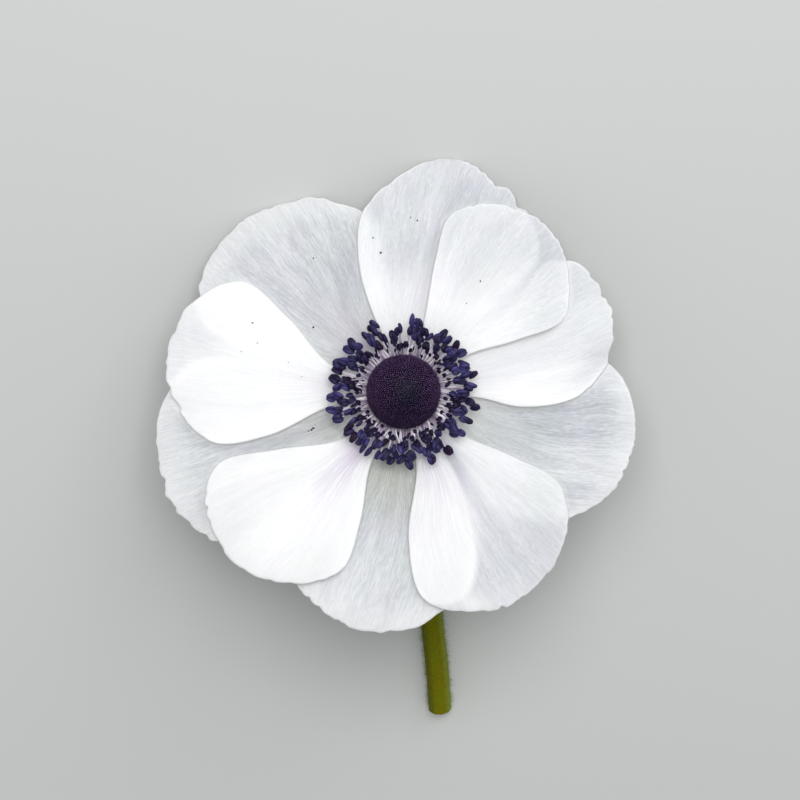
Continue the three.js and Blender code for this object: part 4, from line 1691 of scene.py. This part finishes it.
@dataclass
class PistilDome:
    """The dome of packed pistils, set all over with fine styles.

    Attributes:
        groups: The shared shader groups.
        radius: Radius of the dome at its widest.
        widest: Height at which it is widest.
        top: Height of its top.
        foot: Height of its foot.
        foot_radius: Radius of its foot.
        styles: How many styles stand on it.
        style_length: How far a style stands out.
        style_steps: Places along a style from its foot, below 0 inside the dome.
        style_radii: The style's radius at those places.
        style_sides: Sides of a style.
        lowest: Height of the lowest styles over the widest place, as a share of the rise.
        dark_middle: Where the greenish black middle lies, and the radii where it is strongest
            and where it ends.
        rings: Rings of points on the body under the styles.
        sides: Sides of that body.
        seed: Seed of the styles' places.
    """

    groups: ShaderGroups
    radius: float = 5.85
    widest: float = 4.7
    top: float = 8.35
    foot: float = 2.7
    foot_radius: float = 4.6
    styles: int = 2000
    style_length: float = 0.36
    style_steps: tuple[float, ...] = (-0.35, 0.35, 0.8, 1.0)
    style_radii: tuple[float, ...] = (0.12, 0.115, 0.085, 0.035)
    style_sides: int = 5
    lowest: float = -0.22
    dark_middle: tuple[float, float, float, float] = (0.8, -0.7, 0.2, 3.4)
    rings: int = 14
    sides: int = 64
    seed: int = 21

    def core(self) -> Shape:
        """The dome's body under the styles.

        Returns:
            The body in the head's frame.
        """
        wall = [
            (self.radius * math.cos(turn), self.widest + (self.top - self.widest) * math.sin(turn))
            for turn in np.linspace(0, np.pi / 2, self.rings)[:-1]
        ]
        profile = ((0.0, self.foot), (self.foot_radius, self.foot), *wall, (0.0, self.top))
        body = turned_body(profile, self.sides)
        body.values = {"reach": np.zeros(len(body.points)), "patch": self.greenness(body.points)}
        return body

    def greenness(self, points: np.ndarray) -> np.ndarray:
        """How greenish black the dome is, most in its middle towards the lower right."""
        x, y, strongest, weakest = self.dark_middle
        gap = np.hypot(points[:, 0] - x, points[:, 1] - y)
        return 0.65 * (1 - smoothstep(strongest, weakest, gap))

    def bristle(self) -> Shape:
        """The styles, evenly spread over the dome and leaning a little outwards.

        Returns:
            The styles as one shape in the head's frame.
        """
        random = np.random.default_rng(self.seed)
        place = np.arange(self.styles)
        share = self.lowest + (1 - self.lowest) * (place + 0.5) / self.styles
        share = np.minimum(share + random.normal(0, 0.004, self.styles), 0.9995)
        ring = np.sqrt(1 - share**2)
        angle = GOLDEN_ANGLE * place + random.normal(0, 0.005, self.styles) / ring
        rise = self.top - self.widest
        around_dome = np.stack([ring * np.cos(angle), ring * np.sin(angle)], axis=-1)
        spot = np.column_stack([self.radius * around_dome, self.widest + rise * share])
        outward = unit(np.column_stack([around_dome, share * self.radius / rise]))
        lean = unit(outward + random.normal(0, 0.05, outward.shape))
        length = self.style_length * random.normal(1, 0.15, self.styles)
        paths = spot[:, None] + lean[:, None] * (length[:, None] * self.style_steps)[..., None]
        hints = np.cross(outward, [0.3, 0.5, 0.8])
        styles = sweep(paths, np.array(self.style_radii), self.style_sides, hints)
        # Each style's tone is random, painted darker towards the dome's foot and towards its lower side:
        # painted shade.
        tone = random.uniform(0.45, 1.0, self.styles) * (1 - 0.5 * smoothstep(0.75, 1.0, ring))
        tone *= 1 - 0.45 * smoothstep(0.5, -4.5, spot[:, 1])
        per_style = len(self.style_steps) * self.style_sides
        tones = np.concatenate([np.repeat(tone, per_style), tone, tone])
        # The styles turn pale purple towards their tips, partly their own colour and partly painted
        # highlight.
        styles.values["reach"] = styles.values["reach"] ** 3 * tones
        styles.values["patch"] = self.greenness(styles.points)
        return styles

    def build(self) -> None:
        """Builds the dome in place of its solid."""
        dome = Shape.joined([self.core(), self.bristle()])
        dome.points = HEAD.place(dome.points)
        dome.to_piece("pistils", DOME.material(self.groups), "pistil_purple", "pistil_dome")


@dataclass
class Stem:
    """The cut stem with the swollen receptacle that carries the flower.

    Attributes:
        groups: The shared shader groups.
        receptacle: Radius and height in the head's frame of the swollen end.
        neck_depth: Depth below the head's origin at which the stem starts to bend.
        neck_radius: Radius there.
        cut_radius: Radius at the cut end.
        rest_height: Height of the stem's line where it lies.
        heading: Its heading from -Y towards +X, in degrees.
        from_bend: Length from the bend's corner to the cut.
        sway: How far the lying stretch bows sideways.
        sides: Sides round the stem.
        swollen: Distance along the line within which the receptacle and the neck lie.
        rings: Rings of points within that distance, and past it.
        cut_profile: Depth behind the cut end and share of its radius of each ring of the cut.
        rib_count: Ribs round the stem.
        rib_height: Height of a rib.
        hairs: How many hairs it has.
        hairy: Distances from the top and from the cut where the hairs start and end.
        hair_length: Least and greatest length of a hair.
        hair_radii: Radius of a hair from its root to its tip.
        hair_sides: Sides of a hair.
        hair_clearance: How far over the surface every hair stays.
        cut_depth: How far before the line's end the hollow of the cut starts.
        line_steps: Points on each stretch of the line.
        seed: Seed of the hairs.
    """

    groups: ShaderGroups
    receptacle: tuple[tuple[float, float], ...] = (
        (4.6, 1.2), (5.2, 0.7), (5.2, -1.6), (4.7, -3.0), (3.4, -4.4), (2.4, -5.6),
    )
    neck_depth: float = 7.0
    neck_radius: float = 1.9
    cut_radius: float = 2.05
    rest_height: float = 1.8
    heading: float = 5.75
    from_bend: float = 67.0
    sway: float = 0.8
    sides: int = 56
    swollen: float = 12.0
    rings: tuple[int, int] = (40, 170)
    cut_profile: tuple[tuple[float, float], ...] = (
        (0.0, 0.97), (-0.05, 0.9), (0.02, 0.78), (0.2, 0.5), (0.3, 0.25),
    )
    rib_count: int = 9
    rib_height: float = 0.045
    hairs: int = 6000
    hairy: tuple[float, float] = (4.5, 0.6)
    hair_length: tuple[float, float] = (0.4, 1.0)
    hair_radii: tuple[float, ...] = (0.022, 0.018, 0.013, 0.005)
    hair_sides: int = 3
    hair_clearance: float = 0.06
    cut_depth: float = 0.15
    line_steps: int = 200
    seed: int = 31

    def line(self) -> tuple[np.ndarray, np.ndarray]:
        """The line that the stem follows: straight down from the head, bent, then lying.

        Returns:
            Points close together on the line, and their distances along it.
        """
        out = np.array(HEAD.direction((0, 0, 1)))
        centre = np.array(HEAD.centre)
        top = centre + self.receptacle[0][1] * out
        neck = centre - self.neck_depth * out
        fall = (neck[2] - self.rest_height) / out[2]
        corner = neck - fall * out
        turn = math.radians(self.heading)
        ahead = np.array([math.sin(turn), -math.cos(turn), 0.0])
        aside = np.array([math.cos(turn), math.sin(turn), 0.0])
        down = corner + fall * ahead
        end = corner + self.from_bend * ahead
        span = np.linalg.norm(end - down)
        share = np.linspace(0, 1, self.line_steps)[:, None]
        left = 1 - share
        straight = top * left + neck * share
        bend = neck * left**2 + 2 * corner * share * left + down * share**2
        first = down + ahead * span / 3
        second = end - ahead * span / 3 + aside * self.sway
        lying = down * left**3 + 3 * first * share * left**2 + 3 * second * share**2 * left + end * share**3
        points = np.concatenate([straight[:-1], bend[:-1], lying])
        steps = np.linalg.norm(np.diff(points, axis=0), axis=1)
        return points, np.concatenate([[0.0], np.cumsum(steps)])

    def at(self, distance: np.ndarray) -> tuple[np.ndarray, np.ndarray, np.ndarray, np.ndarray]:
        """The line's frame at some distances along it.

        Args:
            distance: The distances, in millimetres.

        Returns:
            The points there, the tangents, and two directions square to them.
        """
        points, lengths = self.line()
        spot, tangent = (
            np.stack([np.interp(distance, lengths, column) for column in rows.T], axis=-1)
            for rows in (points, unit(np.gradient(points, axis=0)))
        )
        tangent = unit(tangent)
        hint = np.array([1.0, 0.0, 0.0])
        normal = unit(hint - (tangent @ hint)[:, None] * tangent)
        return spot, tangent, normal, np.cross(tangent, normal)

    def radius_at(self, distance: np.ndarray) -> np.ndarray:
        """The stem's radius at some distances along its line.

        Args:
            distance: The distances, in millimetres.

        Returns:
            The radius at each.
        """
        total = self.line()[1][-1]
        top = self.receptacle[0][1]
        stations = [top - height for _, height in self.receptacle] + [top + self.neck_depth, total]
        radii = [radius for radius, _ in self.receptacle] + [self.neck_radius, self.cut_radius]
        return np.interp(distance, stations, radii)

    def skin(self) -> Shape:
        """The stem and its receptacle, ribbed, with a hollowed cut end.

        Returns:
            The closed skin in the flower's frame.
        """
        total = self.line()[1][-1]
        near, far = self.rings
        distance = np.concatenate([
            np.linspace(0, self.swollen, near)[:-1],
            np.linspace(self.swollen, total - self.cut_depth, far),
        ])
        spot, tangent, normal, other = self.at(distance)
        radius = np.convolve(np.pad(self.radius_at(distance), 2, mode="edge"), np.full(5, 0.2), "valid")
        radius[0] = self.receptacle[0][0]

        inset, cut_share = np.array(self.cut_profile).T
        spot = np.concatenate([spot, spot[-1] + (self.cut_depth - inset)[:, None] * tangent[-1]])
        normal, other = (
            np.concatenate([side, np.tile(side[-1], (len(inset), 1))]) for side in (normal, other)
        )
        radius = np.concatenate([radius, self.cut_radius * cut_share])[:, None]
        run = np.concatenate([distance, np.full(len(inset), total)])[:, None]

        angle = turns(self.sides)
        ribs = self.rib_height * np.cos(self.rib_count * angle + 0.5 * np.sin(0.11 * run))
        ribs *= smoothstep(7.5, self.swollen, run) * (radius > 0.8 * self.neck_radius)
        around_line = normal[:, None] * np.cos(angle)[:, None] + other[:, None] * np.sin(angle)[:, None]
        rings = spot[:, None] + (radius + ribs)[..., None] * around_line
        number = np.arange(ribs.size).reshape(ribs.shape)
        points = np.concatenate([rings.reshape(-1, 3), spot[:1], spot[-1:]])
        points[:, 2] = np.maximum(points[:, 2], FLOOR_GAP)
        on_cut = (np.arange(len(run)) > len(distance))[:, None].astype(float)
        values = {
            name: np.concatenate([np.broadcast_to(ring_values, ribs.shape).ravel(), ends])
            for name, ring_values, ends in (
                ("along", run / total, [0.0, 1.0]),
                ("across", angle / (2 * np.pi), [0.0, 0.0]),
                ("cut", on_cut, [0.0, 1.0]),
                # Which side of the stem a point faces, for the painted light and shade.
                ("side", np.cos(angle), [0.0, 0.0]),
            )
        }
        return Shape(points, tube_faces(number, number.size, number.size + 1), values)

    def fuzz(self) -> Shape:
        """The fine hairs that stand out of the stem.

        Returns:
            The hairs that clear the surface, as one shape in the flower's frame.
        """
        random = np.random.default_rng(self.seed)
        total = self.line()[1][-1]
        from_top, from_cut = self.hairy
        distance = random.uniform(from_top, total - from_cut, self.hairs)
        spot, tangent, normal, other = self.at(distance)
        angle = random.uniform(0, 2 * np.pi, self.hairs)[:, None]
        outward = normal * np.cos(angle) + other * np.sin(angle)
        root = spot + outward * (self.radius_at(distance)[:, None] - 0.08)
        lean = unit(outward + random.normal(0, 0.35, root.shape) + 0.25 * tangent)
        length = random.uniform(*self.hair_length, self.hairs)[:, None]
        bow = random.normal(0, 0.2, root.shape)
        steps = np.linspace(0, 1, len(self.hair_radii))[None, :, None]
        paths = root[:, None] + (lean * length)[:, None] * steps + (bow * length)[:, None] * steps**2
        clear = paths[..., 2].min(axis=1) > self.hair_clearance
        return sweep(paths[clear], np.array(self.hair_radii), self.hair_sides, tangent[clear])

    def build(self) -> None:
        """Builds the stem in place of its solid, and its hairs."""
        bare = StemFinish().material(self.groups)
        self.skin().to_piece("stem_and_receptacle", bare, "stem_green", "stem")
        self.fuzz().to_piece("stem_hairs", HairFinish().material(), "stem_green")


@dataclass
class FallenPollen:
    """The dark grains that have dropped from the anthers on the petals.

    Attributes:
        groups: The shared shader groups.
        corolla: The petals that the grains lie on.
        clumps: Where the largest lie, as x and y in the head's plane and radius, in millimetres.
        profile: Radius and height of each point of a grain of radius 1.
        stretch: Least and greatest stretch of a grain in each direction.
        flatness: A grain's height against its width.
        sides: Sides of a grain.
        seed: Seed of the grains' stretch.
    """

    groups: ShaderGroups
    corolla: Corolla
    clumps: tuple[tuple[float, float, float], ...] = (
        (-5.1, 25.7, 0.12), (-3.8, 23.2, 0.16), (1.2, 29.1, 0.12), (2.3, 28.6, 0.13),
        (-15.1, 22.4, 0.15), (-15.1, 10.8, 0.15), (-25.2, 11.5, 0.16), (-24.4, 8.1, 0.09),
        (-27.1, 6.7, 0.09), (-19.2, 4.9, 0.09), (-17.0, 2.5, 0.09), (-15.1, -6.1, 0.2),
        (-15.9, -6.6, 0.13), (-14.7, -5.6, 0.1), (-15.4, -6.4, 0.16), (12.8, 18.4, 0.13),
        (10.5, 14.7, 0.1),
    )
    profile: tuple[tuple[float, float], ...] = ((0, -1), (0.7, -0.7), (1, 0), (0.7, 0.7), (0, 1))
    stretch: tuple[float, float] = (0.7, 1.2)
    flatness: float = 0.6
    sides: int = 8
    seed: int = 41

    def build(self) -> None:
        """Builds the grains."""
        grain = turned_body(self.profile, self.sides)
        count = len(grain.points)
        random = np.random.default_rng(self.seed)
        grains = []
        for x, y, radius in self.clumps:
            height = self.corolla.top_at(x, y)
            if not math.isfinite(height):
                continue
            size = radius * random.uniform(*self.stretch, 3) * np.array([1.0, 1.0, self.flatness])
            points = grain.points * size + np.array([x, y, height + 0.1 * radius])
            values = {"reach": np.full(count, 0.3), "patch": np.zeros(count)}
            grains.append(Shape(HEAD.place(points), grain.faces, values))
        finish = ANTHER.material(self.groups)
        Shape.joined(grains).to_piece("fallen_pollen", finish, "stamen_navy")


@dataclass(frozen=True)
class Lamp:
    """A square soft light that faces the flower.

    Attributes:
        name: The light's name.
        towards: Direction from the head to the light, in the head's frame.
        power: The light's power in watts.
        side: The light's side in metres.
        distance: Its distance from the head, in metres.
    """

    name: str
    towards: tuple[float, float, float]
    power: float
    side: float
    distance: float = 0.9

    def build(self) -> None:
        """Builds the light."""
        data = bpy.data.lights.new(self.name, "AREA")
        data.energy = self.power
        data.size = self.side
        made = new_object(self.name, data)
        ray = HEAD.direction(self.towards)
        made.location = Vector(HEAD.centre) * MM + ray * self.distance
        made.rotation_euler = ray.to_track_quat("Z", "Y").to_euler()


@dataclass(frozen=True)
class Studio:
    """Camera, lights and floor.

    Attributes:
        distance: Camera's distance from the head's origin, in millimetres.
        scale: Pixels for each millimetre at the head's origin.
        centre_px: Where the head's origin shows in the picture.
        sensor: Width of the camera's sensor, in millimetres.
        clip: Nearest and furthest distance that the camera sees, in metres.
        lamps: The main light and the fill light.
        sky: Colour of the light from all round.
        sky_strength: Its strength.
        floor: Colour of the floor.
        floor_roughness: Its roughness.
        floor_side: Its side in metres.
    """

    distance: float = 600.0
    scale: float = 5.975
    centre_px: tuple[float, float] = (403.5, 391.7)
    sensor: float = 36.0
    clip: tuple[float, float] = (0.01, 20.0)
    lamps: tuple[Lamp, ...] = (
        Lamp("key", (0.36, 0.38, 0.85), 2.2, 0.45), Lamp("fill", (0.0, 0.16, 1.0), 5.65, 0.4),
    )
    sky: Color = (0.98, 0.99, 1.0)
    sky_strength: float = 0.43
    floor: Color = (0.56, 0.57, 0.56)
    floor_roughness: float = 0.9
    floor_side: float = 3.0

    def camera(self) -> None:
        """Puts the camera where the picture was taken from."""
        data = bpy.data.cameras.new("camera")
        data.sensor_width = self.sensor
        data.lens = self.scale * self.distance * self.sensor / IMAGE_SIDE_PX
        data.clip_start, data.clip_end = self.clip
        made = new_object("camera", data)
        half = IMAGE_SIDE_PX / 2
        aside = (half - self.centre_px[0]) / self.scale
        upward = (self.centre_px[1] - half) / self.scale
        spot = HEAD.place(np.array([[aside, upward, self.distance]]))[0] * MM
        turn = Matrix(HEAD.axes().T).to_4x4()
        made.matrix_world = Matrix.Translation(Vector(spot)) @ turn
        bpy.context.scene.camera = made

    def ground(self) -> None:
        """Lays the plain pale floor."""
        side = self.floor_side / 2
        mesh = bpy.data.meshes.new("floor")
        corners = [(-side, -side, 0), (side, -side, 0), (side, side, 0), (-side, side, 0)]
        mesh.from_pydata(corners, [], [(0, 1, 2, 3)])
        material, nodes, shader = blank_material("floor")
        nodes.feed(shader, {"Base Color": self.floor, "Roughness": self.floor_roughness})
        mesh.materials.append(material)
        new_object("floor", mesh)

    def daylight(self) -> None:
        """Adds the soft light from all round."""
        world = bpy.data.worlds.new("daylight")
        world.use_nodes = True
        background = world.node_tree.nodes["Background"]
        Nodes(world.node_tree).feed(background, {"Color": self.sky, "Strength": self.sky_strength})
        bpy.context.scene.world = world

    def build(self) -> None:
        """Builds the whole studio."""
        self.camera()
        for lamp in self.lamps:
            lamp.build()
        self.ground()
        self.daylight()
        bpy.context.scene.view_settings.view_transform = "Standard"


def main() -> None:
    """Builds the flower and its studio, in order."""
    logging.basicConfig(level=logging.INFO, format="%(name)s: %(message)s")
    groups = ShaderGroups(vein_streaks(), fine_grain())
    corolla = Corolla(groups)
    corolla.build()
    Stamens(groups).build()
    PistilDome(groups).build()
    Stem(groups).build()
    FallenPollen(groups, corolla).build()
    Studio().build()


if __name__ == "__main__":
    main()
